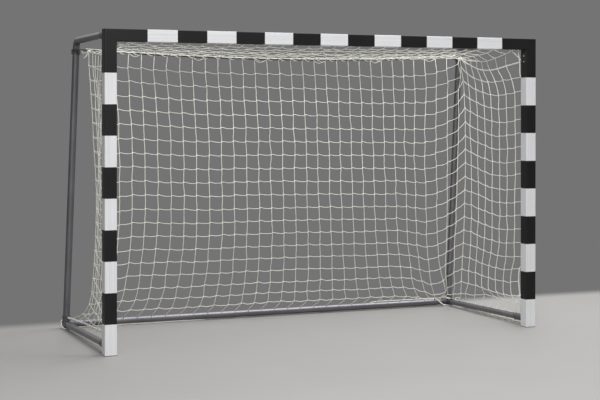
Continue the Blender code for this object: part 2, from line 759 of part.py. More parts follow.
def tie_rope_end():
    """Where the tie rope leaves the left upright, and the way it goes there, seen from above."""
    centre = upright_point(-1, TIE_TOP_HEIGHT)
    slope = 2 * TIE_BOW / abs(centre.x)
    angle = -math.pi / 2 - math.atan(slope)
    return centre, angle


def tie_rope_radius():
    chord = math.cos(math.pi / TIE_TURN_STEPS)
    return (HOOP_TUBE / 2 + TIE_ROPE / 2) / chord + GAP


def least_turn_gap(path, steps, diameter):
    """Least distance between points half a turn or more apart along a winding, less the rope's diameter."""
    apart = steps // 2
    pairs = ((a, b) for i, a in enumerate(path) for b in path[i + apart :])
    return min((a - b).length for a, b in pairs) - diameter


def tie_rope_point(x):
    """The rope's span between the uprights: it sags, and the net draws it forward."""
    centre, angle = tie_rope_end()
    start = centre + Vector((math.cos(angle), math.sin(angle), 0.0)) * tie_rope_radius()
    slack = 1.0 - min((x / start.x) ** 2, 1.0)
    return Vector((x, start.y - TIE_BOW * slack, start.z - TIE_SAG * slack))


def add_tie_rope(finish, parent):
    centre, angle = tie_rope_end()
    steps = TIE_TURNS * TIE_TURN_STEPS
    half = []
    for i in range(steps + 1):
        turn = angle - 2 * math.pi * (steps - i) / TIE_TURN_STEPS
        axis = upright_point(-1, TIE_TOP_HEIGHT - TIE_PITCH * (steps - i) / TIE_TURN_STEPS)
        half.append(axis + Vector((math.cos(turn), math.sin(turn), 0.0)) * tie_rope_radius())
    print(f"tie rope: least gap between turns {1000 * least_turn_gap(half, TIE_TURN_STEPS, TIE_ROPE):.2f} mm")
    span_steps = 12
    start = half[-1].x
    half += [tie_rope_point(start * (1 - i / span_steps)) for i in range(1, span_steps + 1)]
    mirrored = [Vector((-p.x, p.y, p.z)) for p in reversed(half[:-1])]
    bm = solid(swept, half + mirrored, TIE_ROPE / 2, 0.0, 6)
    add_piece("tie_rope", finish_mesh("tie_rope", bm), [finish], parent)


def edge_rope_x():
    return POST_CENTRE - ROPE_OFFSET


def add_edge_rope(finish, parent):
    """The net's front rope: up one post, round the upper socket, along the crossbar and down again."""
    bar_start = BAR_HOOK_HALF + HOOK_WIDTH
    half = [
        Vector((-edge_rope_x(), ROPE_DEPTH, EDGE_ROPE_LOW)),
        Vector((-edge_rope_x(), ROPE_DEPTH, EDGE_ROPE_TURN)),
        Vector((-(edge_rope_x() + bar_start) / 2, ROPE_DEPTH, (EDGE_ROPE_TURN + BAR_CENTRE) / 2)),
        Vector((-bar_start, ROPE_DEPTH, BAR_CENTRE + ROPE_OFFSET)),
    ]
    mirrored = [Vector((-p.x, p.y, p.z)) for p in reversed(half)]
    bm = solid(swept, half + mirrored, EDGE_ROPE / 2, 0.0, 8)
    add_piece("edge_rope", finish_mesh("edge_rope", bm), [finish], parent)


# Net


def net_corner(height):
    """The line where the rear and side panels meet: drawn in at its waist and spread to the rails below."""
    lift = (height - NET_WAIST_HEIGHT) / (MOUTH_HEIGHT - NET_WAIST_HEIGHT)
    spread = CORNER_SPREAD * math.exp((CORNER_FLARE_HEIGHT - height) / CORNER_SPREAD_HEIGHT)
    flare = CORNER_FLARE * math.exp((CORNER_FLARE_HEIGHT - height) / CORNER_FLARE_HEIGHT)
    return Vector(
        (
            NET_WAIST_HALF + NET_TOP_SPREAD * lift**2 + spread,
            NET_WAIST_DEPTH + NET_TOP_DRAW * lift**2 + flare,
            height,
        )
    )


def rear_depth(height):
    """Depth of the rear panel at mid span: a hanging curve that runs out to the rear rail."""
    below = max(0.0, 1.0 - height / REAR_FLARE_HEIGHT)
    above = max(0.0, height - REAR_FLARE_HEIGHT) / (MOUTH_HEIGHT - REAR_FLARE_HEIGHT)
    return NET_WAIST_DEPTH + REAR_FLARE * below**1.9 + REAR_TOP_DRAW * above**2


def mix(first, second, share):
    return first * (1.0 - share) + second * share


def ease(value):
    value = min(max(value, 0.0), 1.0)
    return value * value * (3.0 - 2.0 * value)


def rope_seat(rope):
    """Distance from a rope's centre to the centre of a net cord that lies on it."""
    return rope / 2 + NET_CORD / 2 + GAP


def hook_seat():
    """Depth of the net's front cords, against the lips of the hooks."""
    return PROFILE + HOOK_GAP + HOOK_THICKNESS + NET_CORD / 2 + GAP


def rail_seat(tube):
    """The same for a cord on a tube's upper inner side, along each of the two directions."""
    return (tube / 2 + NET_CORD / 2 + GAP) / math.sqrt(2)


def rope_hung_point(u):
    """The net's upper rear edge, u from -1 to 1: along the tie rope, then down to the net's corner."""
    corner = net_corner(SEAM_REAR_HEIGHT)
    corner.x -= PANEL_CLEARANCE
    on_rope = tie_rope_point(u * corner.x)
    return mix(on_rope, Vector((math.copysign(corner.x, u), corner.y, corner.z)), abs(u) ** 8)


def rear_net_point(u, v):
    """u runs from -1 to 1 across the goal and v from the tie rope down to the rear rail."""
    share = 1.0 - PANEL_CLEARANCE / NET_WAIST_HALF
    hung = rope_hung_point(u)
    hung.z -= rope_seat(TIE_ROPE)
    seat = rail_seat(REAR_RAIL_TUBE)
    last = CORNER_HALF_WIDTH - CORNER_SOCKET_LENGTH - PANEL_CLEARANCE
    laid = Vector((u * last, CORNER_DEPTH - seat, CORNER_HEIGHT + seat))
    height = mix(hung.z, laid.z, v)
    corner = net_corner(height)
    edge = abs(u) ** 5
    free = Vector((u * share * corner.x, mix(rear_depth(height), corner.y, edge), height))
    top_hold = 1.0 - ease(v * REAR_CELLS[1])
    low_hold = ease(1.0 - (1.0 - v) * REAR_CELLS[1])
    return mix(mix(free, hung, top_hold), laid, low_hold)


def seam_height(t):
    """Height of the seam between a side panel and the top panel, t from the rear corner to the post."""
    return mix(SEAM_REAR_HEIGHT, SEAM_FRONT_HEIGHT, t) - SEAM_SAG * 4 * t * (1.0 - t)


def side_net_point(side, t, v):
    """t runs from the rear corner (0) to the post (1) and v from the seam down to the side rail."""
    seat = rail_seat(SIDE_RAIL_TUBE)
    low, high = lower_rear(1), lower_front(1)
    first = CORNER_DEPTH - CORNER_SOCKET_LENGTH - PANEL_CLEARANCE
    last = PROFILE + POST_SOCKET_LENGTH + PANEL_CLEARANCE
    depth = mix(first, last, t)
    rail = low + (high - low) * (low.y - depth) / (low.y - high.y)
    laid = Vector((rail.x - seat, depth, rail.z + seat))
    height = mix(seam_height(t), laid.z, v)
    corner = net_corner(height)
    front = Vector((edge_rope_x(), hook_seat(), height))
    share = mix(PANEL_CLEARANCE / NET_WAIST_DEPTH, 1.0, t)
    free = Vector((mix(corner.x, front.x, share), mix(corner.y, front.y, share), height))
    point = mix(free, laid, ease(1.0 - (1.0 - v) * SIDE_CELLS[1]))
    return Vector((side * point.x, point.y, point.z))


def top_net_point(u, r):
    """u runs from -1 to 1 across the goal and r from the crossbar (0) to the tie rope (1)."""
    seam = side_net_point(1, 1.0 - r, 0.0)
    front = Vector((u * edge_rope_x(), hook_seat(), BAR_CENTRE + ROPE_OFFSET))
    rear = rope_hung_point(u)
    rear.y -= rope_seat(TIE_ROPE)
    middle = mix(front, rear, r)
    middle.z -= TOP_PANEL_SAG * 4 * r * (1.0 - r)
    edge = Vector((math.copysign(seam.x - PANEL_CLEARANCE, u), seam.y, seam.z + PANEL_CLEARANCE))
    return mix(middle, edge, abs(u) ** mix(40.0, 8.0, ease(r)))


def add_panel(name, point, cells, finish, parent):
    """Square-mesh net: one cord along each line of a grid that lies on the panel's surface."""
    columns, rows = cells
    bm = bmesh.new()
    grid = [[bm.verts.new(point(i / columns, j / rows)) for i in range(columns + 1)] for j in range(rows + 1)]
    for upper, lower in zip(grid, grid[1:]):
        for i in range(columns):
            bm.faces.new((upper[i], lower[i], lower[i + 1], upper[i + 1]))
    mesh = bpy.data.meshes.new(name)
    bm.to_mesh(mesh)
    bm.free()
    panel = add_piece(name, mesh, [finish], parent)
    cords = panel.modifiers.new("Cords", "WIREFRAME")
    cords.thickness = NET_CORD
    cords.use_even_offset = False
    cords.use_boundary = True


def add_net(finish, parent):
    add_panel("rear_net", lambda i, j: rear_net_point(2 * i - 1, j), REAR_CELLS, finish, parent)
    add_panel("top_net", lambda i, j: top_net_point(2 * i - 1, j), TOP_CELLS, finish, parent)
    for side_name, side in (("left", -1), ("right", 1)):
        add_panel(f"{side_name}_side_net", lambda i, j, s=side: side_net_point(s, i, j), SIDE_CELLS, finish, parent)


def main():
    clear_scene()
    origin = bpy.data.objects.new("goal_origin", None)
    bpy.context.scene.collection.objects.link(origin)
    origin.location = (0.0, -GOAL_DEPTH / 2, 0.0)

    white = material("white_aluminium", (0.80, 0.81, 0.83), 0.35, 0.3)
    black = material("black_coating", (0.015, 0.015, 0.018), 0.45)
    cast = material("cast_aluminium", (0.45, 0.46, 0.47), 0.5, 0.9)
    steel = material("zinc_plated_steel", (0.55, 0.56, 0.58), 0.35, 1.0)
    grey = material("grey_coated_steel", (0.085, 0.080, 0.095), 0.35)
    plastic = material("black_plastic", (0.02, 0.02, 0.02), 0.55)
    cord = material("white_net_cord", (0.85, 0.84, 0.76), 0.85)
    dark_cord = material("black_rope", (0.02, 0.02, 0.02), 0.9)

    screw, bolt, bar = screw_mesh(), bolt_mesh(), nut_bar_mesh()
    grubs = {tube: grub_mesh(tube) for tube in (HOOP_TUBE, SIDE_RAIL_TUBE)}
    add_crossbar([white, black], origin)
    add_hook_strips(plastic, origin)
    add_rear_rail(grey, origin)
    for side_name, side in (("left", -1), ("right", 1)):
        add_post(f"{side_name}_post", side, [white, black], origin)
        add_corner_connector(f"{side_name}_corner_connector", side, cast, origin)
        add_corner_screws(side_name, side, screw, steel, origin)
        add_foot_plug(f"{side_name}_foot_plug", side, plastic, origin)
        add_post_sockets(side_name, side, grey, origin)
        add_flange_fasteners(side_name, side, {"bolt": bolt, "bar": bar}, steel, origin)
        add_rear_tubes(side_name, side, grey, origin)
        add_corner_fitting(f"{side_name}_corner_fitting", side, grey, origin)
        add_grub_screws(side_name, side, grubs, steel, origin)
        add_rear_foot(f"{side_name}_rear_foot", side, plastic, origin)
    add_tie_rope(dark_cord, origin)
    add_edge_rope(cord, origin)
    add_net(cord, origin)


main()
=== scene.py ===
"""Handball goal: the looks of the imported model.

Points are written as (x, depth behind the posts' front face, height), in metres. The net's knots
are numbered by column from -16 to 16 and by row from 0 at the tie rope to 20 at the rear rail, and
those of the side and top panels by step from 0 at the rear to 8 at the front frame.
"""

import json
import math
import random

import bpy
import numpy as np
from mathutils import Matrix, Vector

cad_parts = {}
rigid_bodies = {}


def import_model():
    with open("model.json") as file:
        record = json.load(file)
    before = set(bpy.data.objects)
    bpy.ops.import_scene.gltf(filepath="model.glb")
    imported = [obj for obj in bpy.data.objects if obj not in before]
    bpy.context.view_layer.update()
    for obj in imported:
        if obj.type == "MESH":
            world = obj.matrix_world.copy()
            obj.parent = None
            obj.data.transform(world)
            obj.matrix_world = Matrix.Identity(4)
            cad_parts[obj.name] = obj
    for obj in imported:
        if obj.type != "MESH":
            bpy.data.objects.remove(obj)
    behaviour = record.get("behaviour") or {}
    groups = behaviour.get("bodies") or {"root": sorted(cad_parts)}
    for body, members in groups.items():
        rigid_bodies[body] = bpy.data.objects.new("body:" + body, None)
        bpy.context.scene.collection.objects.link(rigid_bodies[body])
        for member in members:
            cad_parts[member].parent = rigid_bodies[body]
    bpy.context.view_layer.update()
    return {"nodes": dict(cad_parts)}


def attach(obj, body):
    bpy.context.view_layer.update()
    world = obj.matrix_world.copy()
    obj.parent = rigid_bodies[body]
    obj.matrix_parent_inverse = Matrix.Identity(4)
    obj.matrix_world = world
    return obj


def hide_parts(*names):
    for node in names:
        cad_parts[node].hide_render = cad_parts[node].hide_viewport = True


# The part's own sizes, in metres
HALF_DEPTH = 0.657074
POST_CENTRE = 1.54
BAR_CENTRE = 2.04
CORNER_HALF_WIDTH, CORNER_DEPTH, CORNER_HEIGHT = 1.541, 1.285, 0.033
RAIL_FRONT_HEIGHT = 0.056
ARM_REAR_HALF_WIDTH, ARM_REAR_DEPTH, ARM_HEIGHT = 1.517, 1.060, 2.050
SIDE_RAIL_RADIUS, REAR_RAIL_RADIUS = 0.021, 0.024
TIE_ROPE, TIE_TOP_HEIGHT, TIE_PITCH, TIE_TURNS = 0.010, 1.988, 0.011, 3
TIE_SAG, TIE_BOW, TIE_RADIUS = 0.054, 0.140, 0.0299
EDGE_ROPE, EDGE_ROPE_X, ROPE_DEPTH = 0.008, 1.5337, 0.08475
EDGE_ROPE_LOW, EDGE_ROPE_TURN, BAR_HOOK_END = 0.180, 1.900, 1.358
HOOK_LOW, HOOK_PITCH = 0.240, 0.200

# The net as made: half its width, its height and its depth in meshes, and its cords
COLUMNS, ROWS, SIDE_COLUMNS = 16, 20, 8
CORD = 0.0050
SEAM_CORD = 0.0100
KNOT = CORD * 0.98
KNOT_SHAPE = (1.10, 0.80, 1.60)
KNOT_REACH = 0.007
CORD_SEAT = CORD * 0.55
ON_FLOOR = 0.0050
LAID_ROPE = dict(lobes=3, lobe_depth=0.20, lay=0.028)
LAID_SEAM = dict(lobes=2, lobe_depth=0.24, lay=0.022)

# The net as it hangs: the line where rear and side panels meet is narrowest at its waist
WAIST_HEIGHT, WAIST_HALF_WIDTH, WAIST_DEPTH = 1.05, 1.435, 0.810
MIDDLE_TOP, MIDDLE_PITCH = 1.925, 0.0992
EDGE_TOP, EDGE_PITCH = 1.912, 0.1005
TOP_PANEL_SAG = 0.018
REAR_SHAKE, SIDE_SHAKE, TOP_SHAKE = 0.0035, 0.004, 0.004
SIDE_ROW_SAG = 0.0030
SIDES = (("left", -1), ("right", 1))
SEED = 20

# Knots that are drawn together at the right corner fitting, by column and row
GATHERED = {
    (12, 19): (1.385, 1.225, 0.070),
    (13, 19): (1.438, 1.190, 0.085),
    (14, 19): (1.448, 1.130, 0.108),
    (15, 19): (1.469, 1.060, 0.119),
    (12, 20): (1.420, 1.279, 0.0598),
    (13, 20): (1.455, 1.279, 0.0598),
    (14, 20): (1.478, 1.272, 0.0615),
    (15, 20): (1.541, 1.196, 0.0584),
}

# The camera, fitted to the corners of the front frame and the ends of its stripes
CAMERA_PLACE = (-3.823, -8.995, 1.555)
CAMERA_YAW, CAMERA_PITCH, CAMERA_ROLL = 23.876, -0.355, 0.03
LENS, SENSOR = 86.55, 36.0
SHIFT_X, SHIFT_Y = -0.0930, -0.1327

BACKDROP = 0.175

random.seed(SEED)


# ---------------------------------------------------------------- scene and camera


def clear_factory_objects():
    for obj in list(bpy.data.objects):
        bpy.data.objects.remove(obj)


def at(point):
    """A point of this script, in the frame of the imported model."""
    return Vector((point[0], point[1] - HALF_DEPTH, point[2]))


def add_camera():
    yaw, pitch, roll = (math.radians(angle) for angle in (CAMERA_YAW, CAMERA_PITCH, CAMERA_ROLL))
    forward = Vector((math.sin(yaw) * math.cos(pitch), math.cos(yaw) * math.cos(pitch), math.sin(pitch)))
    right = Vector((math.cos(yaw), -math.sin(yaw), 0.0))
    up = right.cross(forward)
    right_rolled = right * math.cos(roll) + up * math.sin(roll)
    up_rolled = up * math.cos(roll) - right * math.sin(roll)
    data = bpy.data.cameras.new("Camera")
    data.sensor_width = SENSOR
    data.lens = LENS
    data.shift_x = SHIFT_X
    data.shift_y = SHIFT_Y
    data.clip_end = 100.0
    camera = bpy.data.objects.new("Camera", data)
    bpy.context.scene.collection.objects.link(camera)
    turn = Matrix((right_rolled, up_rolled, -forward)).transposed().to_4x4()
    camera.matrix_world = Matrix.Translation(at(CAMERA_PLACE)) @ turn
    bpy.context.scene.camera = camera


# ---------------------------------------------------------------- materials


class Nodes:
    """Short ways to build a material's node tree."""

    def __init__(self, name):
        self.material = bpy.data.materials.new(name)
        self.material.use_nodes = True
        self.tree = self.material.node_tree
        self.shader = next(n for n in self.tree.nodes if n.type == "BSDF_PRINCIPLED")
        self.place = self.new("ShaderNodeTexCoord").outputs["Object"]

    def new(self, kind, **settings):
        node = self.tree.nodes.new(kind)
        for key, value in settings.items():
            setattr(node, key, value)
        return node

    def link(self, source, target):
        self.tree.links.new(source, target)

    def math(self, operation, first, second=None, third=None):
        node = self.new("ShaderNodeMath", operation=operation)
        for socket, value in zip(node.inputs, (first, second, third)):
            if value is None:
                continue
            if isinstance(value, (int, float)):
                socket.default_value = value
            else:
                self.link(value, socket)
        return node.outputs[0]

    def scaled(self, scale):
        node = self.new("ShaderNodeMapping")
        node.inputs["Scale"].default_value = scale
        self.link(self.place, node.inputs["Vector"])
        return node.outputs[0]

    def noise(self, scale, detail=3.0, stretch=(1.0, 1.0, 1.0), roughness=0.5):
        node = self.new("ShaderNodeTexNoise")
        node.inputs["Scale"].default_value = scale
        node.inputs["Detail"].default_value = detail
        node.inputs["Roughness"].default_value = roughness
        self.link(self.scaled(stretch), node.inputs["Vector"])
        return node.outputs[0]

    def ramp(self, value, low, high):
        """value mapped from the range low to high onto 0 to 1."""
        node = self.new("ShaderNodeMapRange")
        self.link(value, node.inputs["Value"])
        node.inputs["From Min"].default_value = low
        node.inputs["From Max"].default_value = high
        return node.outputs[0]

    def between(self, share, first, second):
        """A mix of two colours, each a colour or a socket."""
        node = self.new("ShaderNodeMix", data_type="RGBA")
        if isinstance(share, (int, float)):
            node.inputs["Factor"].default_value = share
        else:
            self.link(share, node.inputs["Factor"])
        for name, value in (("A", first), ("B", second)):
            socket = next(s for s in node.inputs if s.name == name and s.type == "RGBA")
            if isinstance(value, tuple):
                socket.default_value = (*value, 1.0)
            else:
                self.link(value, socket)
        return next(s for s in node.outputs if s.type == "RGBA")

    def bump(self, height, distance, strength=1.0, below=None):
        node = self.new("ShaderNodeBump")
        node.inputs["Distance"].default_value = distance
        node.inputs["Strength"].default_value = strength
        self.link(height, node.inputs["Height"])
        if below is not None:
            self.link(below, node.inputs["Normal"])
        return node.outputs[0]

    def set(self, **values):
        """Sets the shader's sockets: underscores stand for blanks, and a socket is linked."""
        for key, value in values.items():
            socket = self.shader.inputs[key.replace("_", " ")]
            if isinstance(value, bpy.types.NodeSocket):
                self.link(value, socket)
            elif isinstance(value, tuple):
                socket.default_value = (*value, 1.0)
            else:
                socket.default_value = value
        return self.material


def striped_material(name, along, stripe_of):
    """Extruded profile with stripes. stripe_of(nodes, coordinate) is 1 where the stripe is black."""
    n = Nodes(name)
    split = n.new("ShaderNodeSeparateXYZ")
    n.link(n.place, split.inputs[0])
    wander = n.math("MULTIPLY", n.math("SUBTRACT", n.noise(30.0, 2.0), 0.5), 0.0010)
    black = stripe_of(n, n.math("ADD", split.outputs[along], wander))
    drawn = (0.35, 60.0, 60.0) if along == "X" else (60.0, 60.0, 0.35)
    lines = n.noise(1.6, 4.0, drawn, 0.65)
    fine = n.noise(9.0, 2.0, drawn)
    cloud = n.noise(2.6, 3.0)
    scuff = n.ramp(n.noise(13.0, 6.0, roughness=0.7), 0.62, 0.80)
    silver = n.between(n.ramp(lines, 0.30, 0.70), (0.655, 0.660, 0.680), (0.790, 0.795, 0.810))
    silver = n.between(n.math("MULTIPLY", n.ramp(cloud, 0.4, 0.75), 0.30), silver, (0.84, 0.84, 0.84))
    silver = n.between(n.math("MULTIPLY", scuff, 0.20), silver, (0.42, 0.41, 0.40))
    dark = n.between(n.ramp(cloud, 0.3, 0.7), (0.0075, 0.0074, 0.0080), (0.0130, 0.0126, 0.0136))
    dark = n.between(n.math("MULTIPLY", scuff, 0.30), dark, (0.048, 0.046, 0.046))
    rough = n.math("ADD", 0.34, n.math("MULTIPLY", fine, 0.12))
    rough = n.math("ADD", rough, n.math("MULTIPLY", scuff, 0.14))
    film = n.bump(black, 0.00012, 0.6)
    relief = n.bump(n.math("ADD", lines, n.math("MULTIPLY", fine, 0.35)), 0.00030, 0.50, film)
    colour = n.between(black, silver, dark)
    return n.set(Base_Color=colour, Roughness=rough, Normal=relief, Metallic=0.0, Specular_IOR_Level=0.20)


def post_stripe(n, height):
    lower = n.math("GREATER_THAN", n.math("FRACT", n.math("DIVIDE", height, 0.4)), 0.5)
    return n.math("MAXIMUM", lower, n.math("GREATER_THAN", height, 1.8))


def bar_stripe(n, across):
    shifted = n.math("DIVIDE", n.math("ADD", across, 4.1), 0.4)
    middle = n.math("GREATER_THAN", n.math("FRACT", shifted), 0.5)
    return n.math("MAXIMUM", middle, n.math("GREATER_THAN", n.math("ABSOLUTE", across), 1.3))


def coated_material(name, low, high, roughness, metallic):
    """Powder coat on steel: fine orange peel, slight cloudiness and rubbed specks."""
    n = Nodes(name)
    cloud = n.noise(3.5, 4.0)
    peel = n.noise(900.0, 2.0)
    grain = n.noise(2600.0, 1.0)
    rubbed = n.ramp(n.noise(21.0, 7.0, roughness=0.72), 0.66, 0.82)
    colour = n.between(n.ramp(cloud, 0.3, 0.7), low, high)
    colour = n.between(n.math("MULTIPLY", rubbed, 0.35), colour, tuple(1.9 * c for c in high))
    rough = n.math("ADD", roughness, n.math("MULTIPLY", n.math("SUBTRACT", cloud, 0.5), 0.16))
    rough = n.math("ADD", rough, n.math("MULTIPLY", rubbed, 0.10))
    relief = n.bump(n.math("ADD", peel, n.math("MULTIPLY", grain, 0.4)), 0.00010, 0.55)
    return n.set(Base_Color=colour, Roughness=rough, Normal=relief, Metallic=metallic)


def cast_material(name):
    n = Nodes(name)
    sand = n.noise(700.0, 5.0, roughness=0.7)
    cloud = n.noise(16.0, 3.0)
    colour = n.between(n.ramp(cloud, 0.3, 0.7), (0.34, 0.34, 0.35), (0.46, 0.46, 0.47))
    rough = n.math("ADD", 0.42, n.math("MULTIPLY", sand, 0.18))
    return n.set(Base_Color=colour, Roughness=rough, Normal=n.bump(sand, 0.00018, 0.8), Metallic=0.85)


def plated_material(name):
    n = Nodes(name)
    spangle = n.new("ShaderNodeTexVoronoi")
    spangle.inputs["Scale"].default_value = 900.0
    n.link(n.place, spangle.inputs["Vector"])
    tarnish = n.ramp(n.noise(130.0, 5.0, roughness=0.7), 0.45, 0.75)
    cells = spangle.outputs["Distance"]
    colour = n.between(cells, (0.60, 0.61, 0.64), (0.72, 0.73, 0.75))
    colour = n.between(n.math("MULTIPLY", tarnish, 0.5), colour, (0.36, 0.34, 0.32))
    rough = n.math("ADD", 0.26, n.math("MULTIPLY", tarnish, 0.20))
    return n.set(Base_Color=colour, Roughness=rough, Normal=n.bump(cells, 0.00006, 0.5), Metallic=0.95)


def moulded_material(name, low, high, roughness, grain_scale):
    n = Nodes(name)
    grain = n.noise(grain_scale, 3.0)
    cloud = n.noise(35.0, 3.0)
    colour = n.between(n.ramp(cloud, 0.3, 0.7), low, high)
    rough = n.math("ADD", roughness, n.math("MULTIPLY", grain, 0.18))
    return n.set(Base_Color=colour, Roughness=rough, Normal=n.bump(grain, 0.00012, 0.6))


def fibre_material(name, low, high, grime_and_groove_shade, roughness):
    """Braided or laid fibre: fine threads, dull sheen, a little grime that gathers in patches, and painted
    shade in the grooves between the threads.
    """
    n = Nodes(name)
    threads = n.new("ShaderNodeTexVoronoi")
    threads.inputs["Scale"].default_value = 950.0
    n.link(n.place, threads.inputs["Vector"])
    fuzz = n.noise(3000.0, 2.0)
    cloud = n.noise(2.2, 4.0)
    patch = n.ramp(n.noise(9.0, 5.0), 0.52, 0.74)
    cells = threads.outputs["Distance"]
    colour = n.between(n.ramp(cloud, 0.3, 0.7), low, high)
    colour = n.between(n.math("MULTIPLY", patch, 0.35), colour, grime_and_groove_shade)
    # Painted shade in the grooves between the threads, where the bump sinks: the colour darkens there towards
    # the third tone.
    colour = n.between(n.math("MULTIPLY", n.ramp(cells, 0.45, 0.9), 0.45), colour, grime_and_groove_shade)
    height = n.math("SUBTRACT", n.math("MULTIPLY", fuzz, 0.3), cells)
    rough = n.math("ADD", roughness, n.math("MULTIPLY", fuzz, 0.12))
    return n.set(
        Base_Color=colour,
        Roughness=rough,
        Normal=n.bump(height, 0.0005, 0.7),
        Sheen_Weight=0.25,
        Sheen_Roughness=0.45,
    )


# ---------------------------------------------------------------- mesh building


def tube_rings(points, radius, sides, lobes=0, lobe_depth=0.0, lay=0.03):
    """Rings of points round a path, as an array rings x sides x 3. Lobes are the strands of a laid rope."""
    path = np.array([tuple(p) for p in points], float)
    step = np.diff(path, axis=0)
    length = np.linalg.norm(step, axis=1)
    unit = step / length[:, None]
    tangent = np.vstack([unit[:1], unit[:-1] + unit[1:], unit[-1:]])
    tangent /= np.linalg.norm(tangent, axis=1)[:, None]
    travelled = np.concatenate([[0.0], np.cumsum(length)])
    start = np.array([0.0, 0.0, 1.0]) if abs(tangent[0][2]) < 0.8 else np.array([1.0, 0.0, 0.0])
    normal = np.cross(tangent[0], start)
    angles = 2 * np.pi * np.arange(sides) / sides
    rings = np.empty((len(path), sides, 3))
    for i, (centre, along) in enumerate(zip(path, tangent)):
        normal = normal - along * (normal @ along)
        normal /= np.linalg.norm(normal)
        other = np.cross(along, normal)
        reach = np.full(sides, radius)
        if lobes:
            wave = np.abs(np.cos(lobes * (angles - 2 * np.pi * travelled[i] / (lay * lobes)) / 2))
            reach = radius * (1.0 - lobe_depth + lobe_depth * wave)
        spokes = np.cos(angles)[:, None] * normal + np.sin(angles)[:, None] * other
        rings[i] = centre + reach[:, None] * spokes
    return rings


class Mesh:
    """Gathers tubes and knots, and makes one object of them."""

    def __init__(self):
        self.points, self.faces, self.count = [], [], 0

    def add(self, points, faces):
        self.points.append(np.asarray(points, float).reshape(-1, 3))
        self.faces += [tuple(self.count + i for i in face) for face in faces]
        self.count += len(self.points[-1])

    def tube(self, points, radius, sides=6, **rope):
        rings = tube_rings(points, radius, sides, **rope)
        faces = []
        for i in range(len(rings) - 1):
            for k in range(sides):
                a, b = i * sides + k, i * sides + (k + 1) % sides
                faces.append((a, b, b + sides, a + sides))
        last = (len(rings) - 1) * sides
        faces.append(tuple(range(sides - 1, -1, -1)))
        faces.append(tuple(last + k for k in range(sides)))
        self.add(rings, faces)

    def knot(self, point, size, direction):
        """An uneven little knot: a ball of twelve points, pressed and turned."""
        turn = direction @ Matrix.Rotation(random.uniform(0, math.pi), 3, Vector((0, 1, 0)))
        corners = []
        for corner in BALL_POINTS:
            swell = random.uniform(0.85, 1.15)
            local = Vector([c * size * share for c, share in zip(corner, KNOT_SHAPE)]) * swell
            corners.append(tuple(Vector(point) + turn @ local))
        self.add(corners, BALL_FACES)

    def object(self, name, material, replaced=()):
        mesh = bpy.data.meshes.new(name)
        stacked = np.vstack(self.points)
        stacked[:, 1] -= HALF_DEPTH
        mesh.from_pydata([tuple(p) for p in stacked], [], self.faces)
        mesh.materials.append(material)
        mesh.polygons.foreach_set("use_smooth", [True] * len(mesh.polygons))
        mesh.update()
        piece = bpy.data.objects.new(name, mesh)
        bpy.context.scene.collection.objects.link(piece)
        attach(piece, "root")
        if replaced:
            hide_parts(*replaced)
        return piece


def ball():
    gold = (1 + math.sqrt(5)) / 2
    points = []
    for a in (-1, 1):
        for b in (-gold, gold):
            points += [(0, a, b), (a, b, 0), (b, 0, a)]
    size = math.sqrt(1 + gold * gold)
    points = [tuple(c / size for c in p) for p in points]
    near = 2.0 / size * 1.01
    faces = []
    for i in range(12):
        for j in range(i + 1, 12):
            for k in range(j + 1, 12):
                trio = [Vector(points[m]) for m in (i, j, k)]
                if all((trio[m] - trio[m - 1]).length < near for m in range(3)):
                    outward = (trio[1] - trio[0]).cross(trio[2] - trio[0]).dot(trio[0]) > 0
                    faces.append((i, j, k) if outward else (i, k, j))
    return points, faces


BALL_POINTS, BALL_FACES = ball()


def mix(first, second, share):
    return first * (1.0 - share) + second * share


def bell(value, centre, width):
    return math.exp(-(((value - centre) / width) ** 2))


def ease(value):
    value = min(max(value, 0.0), 1.0)
    return value * value * (3.0 - 2.0 * value)


def smooth(points, steps):
    """A Catmull-Rom curve through the points."""
    points = [Vector(p) for p in points]
    padded = [points[0] * 2 - points[1]] + points + [points[-1] * 2 - points[-2]]
    out = []
    for i in range(len(points) - 1):
        a, b, c, d = padded[i : i + 4]
        bend, twist = 2 * a - 5 * b + 4 * c - d, 3 * b - a - 3 * c + d
        for k in range(steps):
            t = k / steps
            out.append(0.5 * (2 * b + (c - a) * t + bend * t * t + twist * t**3))
    return out + [points[-1]]


def resampled(points, pitch):
    path = np.array([tuple(p) for p in points], float)
    travelled = np.concatenate([[0.0], np.cumsum(np.linalg.norm(np.diff(path, axis=0), axis=1))])
    count = max(2, int(round(travelled[-1] / pitch)) + 1)
    wanted = np.linspace(0.0, travelled[-1], count)
    return [Vector([np.interp(w, travelled, path[:, k]) for k in range(3)]) for w in wanted]


# ---------------------------------------------------------------- the net's form


def corner_line(height, side):
    """Half width and depth of the line where rear and side panels meet, which runs out to the rails."""
    lift = (height - WAIST_HEIGHT) / 0.95
    half = WAIST_HALF_WIDTH + 0.020 * lift**2
    depth = WAIST_DEPTH + 0.125 * lift**2
    if side < 0:
        half += 0.040 * math.exp((0.1 - height) / 0.06)
        depth += 0.100 * math.exp((0.1 - height) / 0.08) + 0.200 * math.exp((0.08 - height) / 0.035)
    else:
        half += 0.040 * math.exp((0.1 - height) / 0.07)
        half -= 0.006 * ease((height - 0.9) / 0.5) + 0.012 * ease((height - 1.83) / 0.07)
        depth += 0.090 * math.exp((0.08 - height) / 0.05)
    return half, min(depth, 1.25)


def rear_depth(height):
    """Depth of the rear panel at mid span: its foot lies on the rail and its top at the tie rope."""
    below = max(0.0, 1.0 - height) / 0.85
    above = max(0.0, height - 1.0) / 0.93
    return WAIST_DEPTH + 0.350 * below**1.9 + 0.090 * above**2


def tie_end():
    """The left upright's axis, the tie rope's last turn on it, and the angle where the rope leaves it."""
    low = Vector((-CORNER_HALF_WIDTH, CORNER_DEPTH, CORNER_HEIGHT))
    high = Vector((-ARM_REAR_HALF_WIDTH, ARM_REAR_DEPTH, ARM_HEIGHT))
    centre = mix(low, high, (TIE_TOP_HEIGHT - low.z) / (high.z - low.z))
    angle = -math.pi / 2 - math.atan(2 * TIE_BOW / abs(centre.x))
    return low, high, centre, angle


